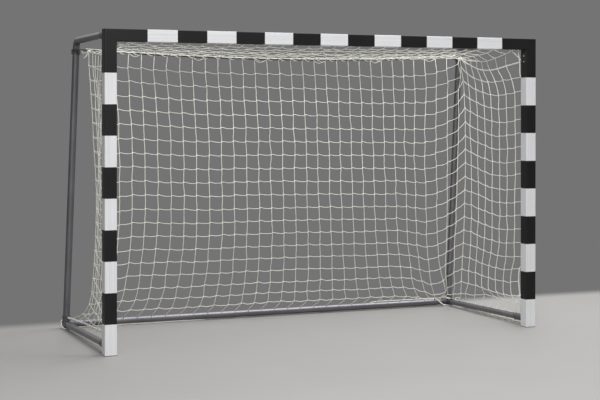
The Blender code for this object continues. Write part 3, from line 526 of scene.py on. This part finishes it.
def tie_rope_point(x):
    """The tie rope's axis between the uprights: it sags, and the net draws it forward."""
    _, _, centre, angle = tie_end()
    start = centre + Vector((math.cos(angle), math.sin(angle), 0.0)) * TIE_RADIUS
    slack = 1.0 - min((x / start.x) ** 2, 1.0)
    return Vector((x, start.y - TIE_BOW * slack, start.z - TIE_SAG * slack))


def middle_height(row):
    height = MIDDLE_TOP - MIDDLE_PITCH * row + 0.00018 * row**2 + 0.018 * math.exp((row - 19) / 1.2)
    return height - 0.007 * bell(row, 17, 1.6)


def rise(column, row):
    """How far a row stands above its middle: drawn up at both corners, slack before the right one."""
    share = abs(column) / COLUMNS
    if column < 0:
        drawn = 0.017 * math.exp((1 - row) / 4) * share**20 if row else 0.0
        low_rows = ease((row - 8) / 3) * (1.0 - ease((row - 16) / 3))
        drawn += bell(column, -14.3, 0.8) * (0.006 + 0.014 * low_rows)
        return (0.064 - 0.0028 * row) * share**2.2 - 0.006 * bell(column, -8, 3) - drawn
    peak = 0.202 - 0.0088 * row - 0.016 * math.exp((row - 19) / 1.4) + 0.007 * bell(row, 17, 1.6)
    slack = 0.0037 * row * bell(column, 12.3, 2.2) + 0.010 * ease(row / 5) * bell(column, 6.8, 5.0)
    slack += 0.012 * ease((row - 8) / 6) * bell(column, 12, 0.75)
    slack += 0.016 * ease((row - 15.5) / 2.5) * bell(column, 12, 1)
    return peak * share**8 - slack - 0.010 * share * (1.0 - row / ROWS)


def rear_height(column, row):
    return min(middle_height(row) + rise(column, row), 1.968)


def rear_point(column, row):
    """Where a knot of the rear panel hangs. Row 0 lies along the tie rope and row 20 on the rear rail."""
    if (column, row) in GATHERED:
        return Vector(GATHERED[column, row])
    height = rear_height(column, row)
    across = column / COLUMNS
    share = abs(across)
    half, depth = corner_line(height, across)

    # The foot of the panel is shifted to the right along the rear rail
    steepness = 1.4 + 0.065 * max(column, 0) + 0.04 * min(column + 5, 0)
    drift = (max(0.0, 1.0 - height) / 0.81) ** steepness * (0.124 + 0.0088 * column) * (1.0 - share**5)
    drift *= 1.0 - 0.36 * ease(column - 13)
    x = math.copysign(half, across) * (1.03 * share - 0.03 * share**8) + 0.03 * (1.0 - across**2)
    x += max(drift, 0.0)

    # The last columns crowd towards the corners, high up and by the right fitting
    x -= (0.017 * ease((height - 0.9) / 0.5) - 0.008 * ease((height - 1.85) / 0.1)) * max(-across, 0.0) ** 20
    x += 0.032 * ease((height - 0.8) / 0.8) * bell(column, 15.2, 1.1)
    x += 0.014 * ease((0.40 - height) / 0.2) * (bell(column, 13, 0.7) - bell(column, 12, 0.5))
    x += 0.009 * ease((height - 1.2) / 0.4) * bell(column, 13.5, 1.8)
    x -= 0.018 * (1.0 - ease((height - 1.3) / 0.5)) * bell(column, 11.6, 1.6)
    x -= 0.008 * bell(height, 1.3, 0.3) * bell(column, 9, 4)
    x += 0.075 * ease((height - 1.6) / 0.35) * max(across, 0.0) ** 8 * (1.0 - share**30)
    point = Vector((x, mix(rear_depth(height), depth, share**5), height))
    if row == 0:
        rope = tie_rope_point(x)
        rope.x += 0.56 * (rope.y - point.y)
        rope.z -= 0.004
        return mix(rope, point, share**10)
    if row == ROWS and share < 0.95:
        x = min(max(rear_point(column, ROWS - 1).x - 0.013, -1.462), 1.462)
        return Vector((x, CORNER_DEPTH - 0.006, CORNER_HEIGHT + REAR_RAIL_RADIUS + CORD_SEAT))
    return point


def seam_row(side):
    """The row that the seam with the top panel lies on: one mesh lower at the right corner."""
    return 1 if side > 0 else 0


def edge_height(side, row):
    """Height of a row at the rope on the post, which ends above the last meshes."""
    low = 17 + seam_row(side)
    height = EDGE_TOP - EDGE_PITCH * (min(row, low) - seam_row(side))
    if side > 0:
        return height + 0.012 * bell(row, 17.1, 1.2)
    return height - 0.042 * max(0, row - low)


def side_rail(depth):
    """Half width and height of the side rails' axis."""
    share = (CORNER_DEPTH - depth) / (CORNER_DEPTH - 0.08)
    return mix(CORNER_HALF_WIDTH, POST_CENTRE, share), mix(CORNER_HEIGHT, RAIL_FRONT_HEIGHT, share)


def side_slack(share, row):
    """How far the right panel hangs back: most along the seam, and where its edge has left the last hook."""
    meshes = 0.69 * bell(row, 1, 1.35) + 0.13 + 0.38 * bell(row, 16.9, 1.7)
    held = 1.0 + 0.12 * share**10 if row >= 16 else 1.0 - share**14
    return 0.118 * meshes * ease(share / 0.62) * held


def side_point(side, step, row):
    """step 0 is the net's rear corner and step 8 the rope on the post."""
    share = step / SIDE_COLUMNS
    if side > 0 and row == ROWS:
        depth = mix(1.093, 0.150, share)
        rail_x, rail_z = side_rail(depth)
        return Vector((rail_x + 0.003, depth, rail_z + SIDE_RAIL_RADIUS + CORD_SEAT))
    if side > 0 and row == ROWS - 1 and step > 0:
        height = 0.142 - 0.010 * bell(step, 1.8, 0.7) + 0.013 * bell(step, 3.5, 1.0)
        height += 0.010 * bell(step, 7, 0.6)
        x = 1.470 + 0.100 * ease(share / 0.5) - 0.020 * share**6
        return Vector((x, 0.950 - 0.850 * share**1.3, height))

    # bend moves the lowest point of the sagging row towards the rear or the front
    below = row - seam_row(side)
    start = rear_height(side * COLUMNS, row)
    if side < 0:
        bend = 0.80 + 0.058 * max(0, below - 2)
        depth_of_sag = 0.010 if below == 0 else 0.006
    else:
        bend = (1.05, 0.82)[below] if below < 2 else 0.99 + 0.045 * (below - 2)
        depth_of_sag = (0.073, 0.082)[below] if below < 2 else 0.076 - 0.0033 * (below - 1)
        depth_of_sag += 0.006 * bell(row, 16, 1.5) - 0.008 * ease(row - 17)
    sag = max(0.0, depth_of_sag) * math.sin(math.pi * share**bend)
    if row >= ROWS - 1:
        sag = 0.008 * math.sin(math.pi * share)
    height = mix(start, edge_height(side, row), share) - sag
    half, depth = corner_line(height if side > 0 or row < ROWS else 0.085, side)
    x = mix(half, EDGE_ROPE_X - (0.035 if below == 0 else 0.001), share)
    depth = mix(depth, ROPE_DEPTH + 0.008, share)
    if side > 0:
        depth += side_slack(share, row)
    if side < 0 and row == ROWS:
        x = mix(1.512, 1.500, share)
        height = mix(0.075, 0.085, share) - 0.004 * math.sin(math.pi * share)
    return Vector((side * x, depth, height))


def top_point(column, step):
    """step 0 is the tie rope and step 8 the rope on the crossbar."""
    share = step / SIDE_COLUMNS
    across = column / COLUMNS
    side = 1 if column >= 0 else -1
    seam = side_point(side, step, seam_row(side))
    rear = rear_point(column, 0)
    front = Vector((across * EDGE_ROPE_X, ROPE_DEPTH + 0.007, BAR_CENTRE - 0.0065))
    middle = mix(rear, front, share)
    middle.z -= TOP_PANEL_SAG * 4 * share**1.6 * (1.0 - share**1.6)
    edge = Vector((math.copysign(abs(seam.x), across), seam.y, seam.z))
    point = mix(middle, edge, abs(across) ** mix(8.0, 24.0, ease(share)))

    # Beside the right seam the panel hangs down
    near = bell(column, 14.8, 0.8)
    return point - Vector((0.040 * (near * bell(step, 4.8, 1.6)), 0.0, 0.024 * near * bell(step, 5.2, 2.0)))


def shaken(point, reach):
    return point + Vector([random.uniform(-reach, reach) for _ in range(3)])


def net_grid():
    """The knots of the rear panel, the side panels and the top panel, in three dictionaries."""
    rear = {(c, r): rear_point(c, r) for c in range(-COLUMNS, COLUMNS + 1) for r in range(ROWS + 1)}
    for (c, r), point in rear.items():
        if 0 < r < ROWS and abs(c) < COLUMNS and (c, r) not in GATHERED:
            rear[c, r] = shaken(point, REAR_SHAKE)
    sides = {}
    for side in (-1, 1):
        for j in range(SIDE_COLUMNS + 1):
            for r in range(seam_row(side), ROWS + 1):
                point = rear[side * COLUMNS, r] if j == 0 and r < ROWS else side_point(side, j, r)
                loose = SIDE_SHAKE if 0 < j < SIDE_COLUMNS and seam_row(side) < r < ROWS else 0.0
                sides[side, j, r] = shaken(point, loose) if loose else point
    top = {}
    for c in range(-COLUMNS, COLUMNS + 1):
        for j in range(SIDE_COLUMNS + 1):
            if j == 0:
                top[c, j] = rear[c, 0]
            elif abs(c) == COLUMNS:
                side = 1 if c > 0 else -1
                top[c, j] = sides[side, j, seam_row(side)]
            else:
                top[c, j] = shaken(top_point(c, j), TOP_SHAKE if j < SIDE_COLUMNS else 0.0)
    return rear, sides, top


def slack_line(points, amount):
    """A cord through its knots, each run a little bowed one way or the other."""
    line = smooth(points, 3)
    return [p if i % 3 == 0 else shaken(p, amount) for i, p in enumerate(line)]


def stepped_line(points, offset, sag):
    """A row of the net: the cord enters each knot by offset higher than its middle and leaves it by as
    much lower, the other way round where offset is negative, and hangs a little between knots."""
    line = [points[0]]
    for i, point in enumerate(points[1:-1], 1):
        before, after = points[i - 1] - point, points[i + 1] - point
        line.append(point + before.normalized() * KNOT_REACH + Vector((0, 0, offset)))
        line.append(point + after.normalized() * KNOT_REACH - Vector((0, 0, offset)))
    line.append(points[-1])
    out = []
    for i, (a, b) in enumerate(zip(line, line[1:])):
        out.append(a)
        if i % 2 == 0:
            middle = (a + b) / 2
            middle.z -= sag
            out.append(shaken(middle, 0.0018))
    return out + [line[-1]]


def rail_wrap_rear(point):
    """The end of a cord of the rear panel, over the rail, down behind it and onto the floor."""
    radius = REAR_RAIL_RADIUS + CORD_SEAT
    out = []
    for degrees in (100, 60, 20, -20):
        angle = math.radians(degrees)
        depth, height = CORNER_DEPTH + radius * math.cos(angle), CORNER_HEIGHT + radius * math.sin(angle)
        out.append(Vector((point.x, depth, height)))
    return out + [Vector((point.x, CORNER_DEPTH + 0.024, ON_FLOOR))]


def rail_wrap_side(point):
    """The end of a cord of the right panel, over the side rail and down outside it onto the floor."""
    rail_x, rail_z = side_rail(point.y)
    radius = SIDE_RAIL_RADIUS + CORD_SEAT
    out = []
    for degrees in (95, 55, 15, -20):
        angle = math.radians(degrees)
        out.append(Vector((rail_x + radius * math.cos(angle), point.y, rail_z + radius * math.sin(angle))))
    return out + [Vector((rail_x + 0.023, point.y + 0.006, ON_FLOOR))]


def add_nets(cord_material):
    rear, sides, top = net_grid()

    piece = Mesh()
    for c in range(-COLUMNS, COLUMNS + 1):
        line = slack_line([rear[c, r] for r in range(ROWS + 1)], 0.0014)
        if abs(c) < COLUMNS:
            line += rail_wrap_side(rear[c, ROWS]) if c == COLUMNS - 1 else rail_wrap_rear(rear[c, ROWS])
            piece.tube(line, CORD / 2)
        else:
            foot = sides[1 if c > 0 else -1, 0, ROWS]
            line = slack_line([rear[c, r] for r in range(ROWS)] + [foot], 0.0014)
            piece.tube(line + (rail_wrap_side(foot) if c > 0 else []), CORD / 2)
    for r in range(1, ROWS):
        points = [rear[c, r] for c in range(-COLUMNS, COLUMNS + 1)]
        piece.tube(stepped_line(points, 0.00016 * r - 0.0052, 0.0035 if r < 17 else 0.006), CORD / 2)
        for c in range(-COLUMNS, COLUMNS + 1):
            piece.knot(rear[c, r], KNOT, Matrix.Identity(3))
    piece.object("net_rear_panel", cord_material, ("rear_net",))

    for name, side in SIDES:
        piece = Mesh()
        for j in range(1, SIDE_COLUMNS):
            line = slack_line([sides[side, j, r] for r in range(seam_row(side), ROWS + 1)], 0.0016)
            if side > 0:
                line += rail_wrap_side(sides[side, j, ROWS])
            piece.tube(line, CORD / 2)
        for r in range(seam_row(side) + 1, ROWS):
            points = [sides[side, j, r] for j in range(SIDE_COLUMNS + 1)]
            piece.tube(stepped_line(points, -0.0022, SIDE_ROW_SAG), CORD / 2)
            for j in range(1, SIDE_COLUMNS + 1):
                piece.knot(sides[side, j, r], KNOT, Matrix.Rotation(math.pi / 2, 3, "Z"))
        last = [sides[side, SIDE_COLUMNS, r] for r in range(17 + seam_row(side), ROWS + 1)]
        piece.tube(slack_line(last, 0.002), CORD / 2)
        if side > 0:
            hook = Vector((EDGE_ROPE_X, ROPE_DEPTH + 0.006, HOOK_LOW + HOOK_PITCH))
            free = smooth([hook] + [sides[side, SIDE_COLUMNS, r] for r in (16, 17, 18)], 6)
            piece.tube(resampled(free, 0.005), EDGE_ROPE * 0.65, 10, **LAID_ROPE)
            piece.knot(free[-1], 0.0105, Matrix.Identity(3))
        piece.object(f"net_{name}_panel", cord_material, (f"{name}_side_net",))

    piece = Mesh()
    for c in range(-COLUMNS + 1, COLUMNS):
        piece.tube(slack_line([top[c, j] for j in range(SIDE_COLUMNS + 1)], 0.0014), CORD / 2)
    for j in range(1, SIDE_COLUMNS):
        offset = 0.0030 if j % 2 else -0.0030
        points = [top[c, j] for c in range(-COLUMNS, COLUMNS + 1)]
        piece.tube(stepped_line(points, offset, SIDE_ROW_SAG), CORD / 2)
        for c in range(-COLUMNS + 1, COLUMNS):
            piece.knot(top[c, j], KNOT, Matrix.Rotation(math.pi / 2, 3, "X"))
    piece.object("net_top_panel", cord_material, ("top_net",))
    return rear, sides


# ---------------------------------------------------------------- ropes


def add_tie_rope(material):
    """The rope between the uprights, wound round each of them."""
    low, high, _, angle = tie_end()
    steps = 28
    half = []
    for i in range(TIE_TURNS * steps + 1):
        back = (TIE_TURNS * steps - i) / steps
        height = TIE_TOP_HEIGHT - TIE_PITCH * back
        axis = mix(low, high, (height - low.z) / (high.z - low.z))
        turn = angle - 2 * math.pi * back
        half.append(axis + Vector((math.cos(turn), math.sin(turn), 0.0)) * TIE_RADIUS)
    start = half[-1].x
    half += [tie_rope_point(start * (1 - i / 60)) for i in range(1, 61)]
    whole = half + [Vector((-p.x, p.y, p.z)) for p in reversed(half[:-1])]
    path = resampled(whole, 0.0035)
    piece = Mesh()
    piece.tube(path, TIE_ROPE / 2, 12, lobes=3, lobe_depth=0.22, lay=0.034)
    rope = piece.object("net_tie_rope", material, ("tie_rope",))


def add_edge_rope(material):
    """Up one post through its hooks, past the upper socket, along the crossbar and down the other post."""

    def post_line(side):
        line = []
        for i in range(61):
            height = mix(EDGE_ROPE_LOW, EDGE_ROPE_TURN, i / 60)
            between = (height - HOOK_LOW) / HOOK_PITCH
            bow = 0.0030 * math.sin(math.pi * between) ** 2 if between > 0 else 0.0
            line.append(Vector((side * EDGE_ROPE_X, ROPE_DEPTH + bow, height)))
        return line

    bar = [Vector((x, ROPE_DEPTH, BAR_CENTRE - 0.0063)) for x in np.linspace(-BAR_HOOK_END, BAR_HOOK_END, 61)]
    up = post_line(-1)
    down = list(reversed(post_line(1)))
    turn_left = smooth([up[-2], up[-1], Vector((-1.452, ROPE_DEPTH, 1.973)), bar[0], bar[1]], 8)[9:-8]
    turn_right = [Vector((-p.x, p.y, p.z)) for p in reversed(turn_left)]
    path = resampled(up[:-1] + turn_left + bar + turn_right + down[1:], 0.0045)
    piece = Mesh()
    piece.tube(path, EDGE_ROPE / 2, 12, **LAID_ROPE)
    rope = piece.object("net_edge_rope", material, ("edge_rope",))


def add_seams(sides, cord_material):
    """The thick cords of the seams between side and top panel, and the knots at both their ends."""
    for name, side in SIDES:
        piece = Mesh()
        knots = [sides[side, j, seam_row(side)] for j in range(SIDE_COLUMNS + 1)]
        piece.tube(resampled(smooth(knots, 8), 0.006), SEAM_CORD / 2, 10, **LAID_SEAM)
        foot = sides[side, 0, seam_row(side)]
        end = tie_rope_point(side * 1.495) + Vector((0, -0.004, -0.006))
        for k in range(2):
            shift = Vector((0.004 * k, 0.0, -0.010 * k))
            middle = mix(foot, end, 0.5) + Vector((0, 0, -0.012 - 0.006 * k))
            piece.tube(smooth([foot + shift * 0.6, middle, end + shift], 4), CORD / 2)
        for _ in range(5):
            piece.knot(shaken(foot, 0.007), 0.0085, Matrix.Identity(3))
        for x, depth, height, thick in ((0.036, -0.010, -0.046, 0.0034), (0.030, 0.008, -0.006, 0.0026)):
            tail = Vector((side * x, depth, height))
            piece.tube(smooth([foot, foot + tail * 0.4 + Vector((0, -0.006, -0.004)), foot + tail], 4), thick)
        drop = [(1.488, ROPE_DEPTH, 2.034), (1.487, 0.088, 1.985), (1.498, 0.091, 1.912)]
        drop += [(1.502, 0.091, 1.821), (1.531, 0.091, 1.770)]
        drop = [Vector((side * x, depth, height)) for x, depth, height in drop]
        piece.tube(resampled(smooth(drop, 6), 0.005), EDGE_ROPE / 2, 10, **LAID_ROPE)
        piece.object(f"net_{name}_seam", cord_material)


def add_lacing(rear, cord_material):
    """The cords that hold the net to the tie rope: one wound round it, two waved along its top, and bights."""
    piece = Mesh()
    reach = (TIE_ROPE + CORD) / 2 + 0.0004
    line = []
    for i in range(1401):
        x = mix(-1.43, 1.43, i / 1400)
        angle = 2 * math.pi * x / 0.098
        line.append(tie_rope_point(x) + Vector((0.0, math.cos(angle), math.sin(angle))) * reach)
    piece.tube(resampled(line, 0.0045), CORD / 2, 6)
    for centre, swing, pitch in ((98, 24, 0.173), (122, 20, 0.117)):
        line = []
        for i in range(701):
            x = mix(-1.46, 1.46, i / 700)
            degrees = centre + swing * math.sin(2 * math.pi * x / pitch) + 12 * math.sin(37 * x)
            angle = math.radians(degrees)
            line.append(tie_rope_point(x) + Vector((0.0, math.cos(angle), math.sin(angle))) * (reach + 0.002))
        piece.tube(line, CORD / 2, 6)
    for c in range(-13, 14, 5):
        low = mix(rear[c, 0], rear[c + 1, 0], 0.45) + Vector((0.0, -0.006, -0.020))
        piece.tube(smooth([rear[c, 0], low, rear[c + 1, 0]], 5), CORD / 2)
    piece.object("net_lacing", cord_material)


def add_corner_ties(cord_material):
    """The cords that hold the net's lower corners to the corner fittings."""
    rope = dict(sides=10, **LAID_ROPE)
    piece = Mesh()

    # From behind the rear rail, over it and along its top, and down before the right fitting
    seat = REAR_RAIL_RADIUS + SEAM_CORD / 2
    over = [(0.80, -35), (0.86, 40), (0.93, 82), (1.10, 86), (1.26, 84), (1.385, 88)]
    over += [(1.415, 120), (1.440, 160)]
    laid = []
    for x, degrees in over:
        angle = math.radians(degrees)
        laid.append(Vector((x, CORNER_DEPTH + seat * math.cos(angle), CORNER_HEIGHT + seat * math.sin(angle))))
    laid += [Vector((1.462, 1.247, 0.022)), Vector((1.478, 1.238, 0.0095))]
    piece.tube(resampled(smooth(laid, 8), 0.006), SEAM_CORD / 2, 10, **LAID_SEAM)
    piece.knot(laid[-1], 0.0062, Matrix.Identity(3))

    # Two turns over the right fitting and one under its front
    fitting = Vector((CORNER_HALF_WIDTH, CORNER_DEPTH, 0.0))
    across, out = Vector((0.9144, -0.4048, 0.0)), Vector((-0.4626, -0.8866, 0.0))
    for drop in (0.0, 0.0075):
        turns = [(-0.049, 0.005, 0.074), (-0.028, 0.026, 0.071), (-0.002, 0.037, 0.066), (0.019, 0.031, 0.058)]
        turns += [(0.032, 0.014, 0.052), (0.042, 0.006, 0.062 + drop)]
        line = [fitting + across * a + out * b + Vector((0, 0, height - drop)) for a, b, height in turns]
        piece.tube(resampled(smooth(line, 6), 0.005), EDGE_ROPE / 2, **rope)
    turns = [(-0.036, 0.030, 0.014), (-0.022, 0.038, 0.0085), (0.0, 0.043, 0.0058), (0.014, 0.043, 0.0058)]
    line = [fitting + across * a + out * b + Vector((0, 0, height)) for a, b, height in turns]
    piece.tube(resampled(smooth(line, 6), 0.005), EDGE_ROPE / 2, **rope)

    # A loop that stands on the right rail, and the cord along the rail's top
    loop = []
    for i in range(33):
        angle = 2 * math.pi * i / 32
        x, height = 1.541 + 0.006 * math.sin(angle), 0.068 + 0.012 * math.sin(angle)
        loop.append(Vector((x, 1.126 + 0.038 * math.cos(angle), height)))
    piece.tube(loop, CORD * 0.6)
    line = []
    for i in range(121):
        depth = mix(1.205, 0.18, i / 120)
        rail_x, rail_z = side_rail(depth)
        angle = math.radians(72 + 16 * math.sin(2 * math.pi * depth / 0.11))
        outward = Vector((math.cos(angle), 0, math.sin(angle)))
        line.append(Vector((rail_x, depth, rail_z)) + outward * (SIDE_RAIL_RADIUS + CORD * 0.6))
    piece.tube(line, CORD / 2)

    # Round the left fitting, behind and under it
    outer = [(-1.556, 1.316, 0.062), (-1.577, 1.290, 0.052), (-1.577, 1.262, 0.028), (-1.566, 1.244, 0.0060)]
    outer += [(-1.545, 1.238, 0.0055), (-1.515, 1.240, 0.0055), (-1.498, 1.252, 0.0055)]
    piece.tube(resampled(smooth(outer, 6), 0.005), EDGE_ROPE / 2, **rope)
    for _ in range(3):
        piece.knot(shaken(Vector((-1.530, 1.262, 0.074)), 0.005), 0.0070, Matrix.Identity(3))
    piece.object("net_corner_ties", cord_material)


def add_selvages(cord_material):
    """The net's lower edge cords: under the rear rail, looped under the right rail, inside the left one."""
    piece = Mesh()
    line = []
    for i in range(181):
        x = mix(-1.45, 1.45, i / 180)
        behind = ease((x + 0.62) / 0.3)
        depth = CORNER_DEPTH + mix(-0.008, 0.020, behind) + 0.003 * math.sin(61 * x)
        line.append(Vector((x, depth, 0.0052 + 0.0008 * math.sin(23 * x))))
    piece.tube(line, CORD * 0.7, 6)
    line = []
    for i in range(241):
        share = i / 240
        depth = mix(1.10, 0.20, share)
        wave = math.sin(2 * math.pi * share * 8.5) + 0.4 * math.sin(2 * math.pi * share * 23)
        x = side_rail(depth)[0] + 0.029 + 0.012 * wave
        line.append(Vector((x, depth, 0.0070 + 0.0020 * (1 + math.sin(31 * share)))))
    piece.tube(line, CORD * 1.15, 8)
    line = [(-1.536, 1.266, 0.0795), (-1.5226, 1.141, 0.083), (-1.500, 0.912, 0.084), (-1.495, 0.790, 0.087)]
    line += [(-1.495, 0.442, 0.093), (-1.502, 0.130, 0.098)]
    piece.tube(resampled(smooth(line, 10), 0.006), 0.0065, 10, lobes=2, lobe_depth=0.20, lay=0.030)
    piece.object("net_selvages", cord_material)


# ---------------------------------------------------------------- stage and light


def seen_ray(nodes):
    """1 for the rays that see the background: the camera's, and those in gloss and in glass."""
    rays = nodes.new("ShaderNodeLightPath")
    gloss = nodes.math("MAXIMUM", rays.outputs["Is Glossy Ray"], rays.outputs["Is Transmission Ray"])
    return nodes.math("MAXIMUM", rays.outputs["Is Camera Ray"], gloss)


def add_stage():
    """A pale floor that runs out, behind the goal and far off, into the colour of the background."""
    n = Nodes("stage_floor")
    soft = n.noise(1.4, 3.0)
    colour = n.between(n.ramp(soft, 0.2, 0.8), (0.395, 0.388, 0.375), (0.415, 0.408, 0.395))
    n.set(Base_Color=colour, Roughness=0.50, Specular_IOR_Level=0.30)
    split = n.new("ShaderNodeSeparateXYZ")
    n.link(n.place, split.inputs[0])
    length = n.new("ShaderNodeVectorMath", operation="LENGTH")
    n.link(n.place, length.inputs[0])
    far = n.math("MAXIMUM", n.ramp(split.outputs["Y"], 0.69, 1.05), n.ramp(length.outputs["Value"], 8.0, 14.0))
    smooth_far = n.new("ShaderNodeMapRange", interpolation_type="SMOOTHSTEP")
    n.link(far, smooth_far.inputs["Value"])
    backdrop = n.new("ShaderNodeEmission")
    backdrop.inputs["Color"].default_value = (BACKDROP, BACKDROP, BACKDROP, 1.0)
    blend = n.new("ShaderNodeMixShader")
    n.link(n.math("MULTIPLY", smooth_far.outputs[0], seen_ray(n)), blend.inputs[0])
    n.link(n.shader.outputs[0], blend.inputs[1])
    n.link(backdrop.outputs[0], blend.inputs[2])
    output = next(node for node in n.tree.nodes if node.type == "OUTPUT_MATERIAL")
    n.link(blend.outputs[0], output.inputs["Surface"])
    half = 60.0
    corners = [(-half, -half, 0), (half, -half, 0), (half, half, 0), (-half, half, 0)]
    mesh = bpy.data.meshes.new("stage_floor")
    mesh.from_pydata(corners, [], [(0, 1, 2, 3)])
    mesh.materials.append(n.material)
    floor = bpy.data.objects.new("stage_floor", mesh)
    floor.location.z = -0.0002
    bpy.context.scene.collection.objects.link(floor)


def add_light(name, place, target, size, power):
    data = bpy.data.lights.new(name, "AREA")
    data.shape = "RECTANGLE"
    data.size, data.size_y = size
    data.energy = power
    lamp = bpy.data.objects.new(name, data)
    lamp.location = at(place)
    aim = at(target) - lamp.location
    lamp.rotation_euler = aim.to_track_quat("-Z", "Y").to_euler()
    bpy.context.scene.collection.objects.link(lamp)


def add_world():
    """Dim light from all round, and the background's grey, which brightens above the camera's view."""
    world = bpy.data.worlds.new("World")
    bpy.context.scene.world = world
    world.use_nodes = True
    tree = world.node_tree
    ambient = tree.nodes["Background"]
    ambient.inputs["Color"].default_value = (0.98, 0.99, 1.0, 1.0)
    ambient.inputs["Strength"].default_value = 0.20
    backdrop = tree.nodes.new("ShaderNodeBackground")
    toward = tree.nodes.new("ShaderNodeSeparateXYZ")
    up = tree.nodes.new("ShaderNodeMapRange")
    up.interpolation_type = "SMOOTHSTEP"
    up.inputs["From Min"].default_value, up.inputs["From Max"].default_value = 0.09, 0.30
    shade = tree.nodes.new("ShaderNodeMapRange")
    shade.inputs["To Min"].default_value, shade.inputs["To Max"].default_value = BACKDROP, 0.80
    tree.links.new(tree.nodes.new("ShaderNodeTexCoord").outputs["Generated"], toward.inputs[0])
    tree.links.new(toward.outputs["Z"], up.inputs["Value"])
    tree.links.new(up.outputs[0], shade.inputs["Value"])
    tree.links.new(shade.outputs[0], backdrop.inputs["Color"])
    rays = tree.nodes.new("ShaderNodeLightPath")
    gloss = tree.nodes.new("ShaderNodeMath")
    seen = tree.nodes.new("ShaderNodeMath")
    gloss.operation = seen.operation = "MAXIMUM"
    blend = tree.nodes.new("ShaderNodeMixShader")
    output = next(node for node in tree.nodes if node.type == "OUTPUT_WORLD")
    for source, target in (
        (rays.outputs["Is Glossy Ray"], gloss.inputs[0]),
        (rays.outputs["Is Transmission Ray"], gloss.inputs[1]),
        (rays.outputs["Is Camera Ray"], seen.inputs[0]),
        (gloss.outputs[0], seen.inputs[1]),
        (seen.outputs[0], blend.inputs[0]),
        (ambient.outputs[0], blend.inputs[1]),
        (backdrop.outputs[0], blend.inputs[2]),
        (blend.outputs[0], output.inputs["Surface"]),
    ):
        tree.links.new(source, target)


def add_lights():
    add_light("key", (-2.3, -6.8, 3.9), (-0.2, 0.4, 1.0), (2.2, 1.6), 325)
    add_light("window", (-7.2, -7.2, 2.05), (0, 0.6, 1.0), (0.7, 4.0), 75)
    add_light("top", (2.4, 0.6, 6.0), (1.2, 0.8, 0.8), (5.0, 5.0), 360)


# ---------------------------------------------------------------- assembly


def finish_nodes(frame):
    bar = striped_material("striped_crossbar", "X", bar_stripe)
    post = striped_material("striped_post", "Z", post_stripe)
    tube_tones = (0.170, 0.165, 0.180), (0.215, 0.208, 0.225)
    socket_tones = (0.120, 0.117, 0.128), (0.155, 0.151, 0.164)
    hook_tones = (0.020, 0.020, 0.021), (0.030, 0.030, 0.031)
    foot_tones = (0.016, 0.016, 0.017), (0.026, 0.026, 0.027)
    finishes = {
        "striped_aluminium": post,
        "hook_plastic": moulded_material("hook_moulding", *hook_tones, 0.45, 1500.0),
        "cast_aluminium": cast_material("sand_cast"),
        "plated_steel": plated_material("zinc_plate"),
        "foot_plastic": moulded_material("foot_moulding", *foot_tones, 0.50, 1100.0),
        "grey_tube": coated_material("coated_tube", *tube_tones, 0.32, 0.88),
        "grey_socket": coated_material("coated_socket", *socket_tones, 0.40, 0.80),
        "foot_rubber": moulded_material("rubber", (0.012, 0.012, 0.012), (0.022, 0.022, 0.022), 0.70, 800.0),
    }
    for name, obj in frame["nodes"].items():
        for slot in obj.material_slots:
            finish = bar if name == "crossbar" else finishes.get(slot.material.name)
            if finish is not None:
                slot.material = finish


def main():
    clear_factory_objects()
    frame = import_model()
    bpy.context.scene.view_settings.view_transform = "Standard"
    add_camera()
    # The third tone of each is the grime colour in patches, and also the painted shade in the grooves between
    # the threads.
    white_tones = (0.84, 0.835, 0.76), (0.91, 0.905, 0.84), (0.62, 0.59, 0.49)
    black_tones = (0.014, 0.013, 0.013), (0.028, 0.026, 0.025), (0.050, 0.047, 0.043)
    white = fibre_material("net_fibre", *white_tones, 0.60)
    black = fibre_material("rope_fibre", *black_tones, 0.60)
    add_tie_rope(black)
    add_edge_rope(white)
    rear, sides = add_nets(white)
    add_seams(sides, white)
    add_lacing(rear, white)
    add_selvages(white)
    add_corner_ties(white)
    finish_nodes(frame)
    add_stage()
    add_world()
    add_lights()


main()
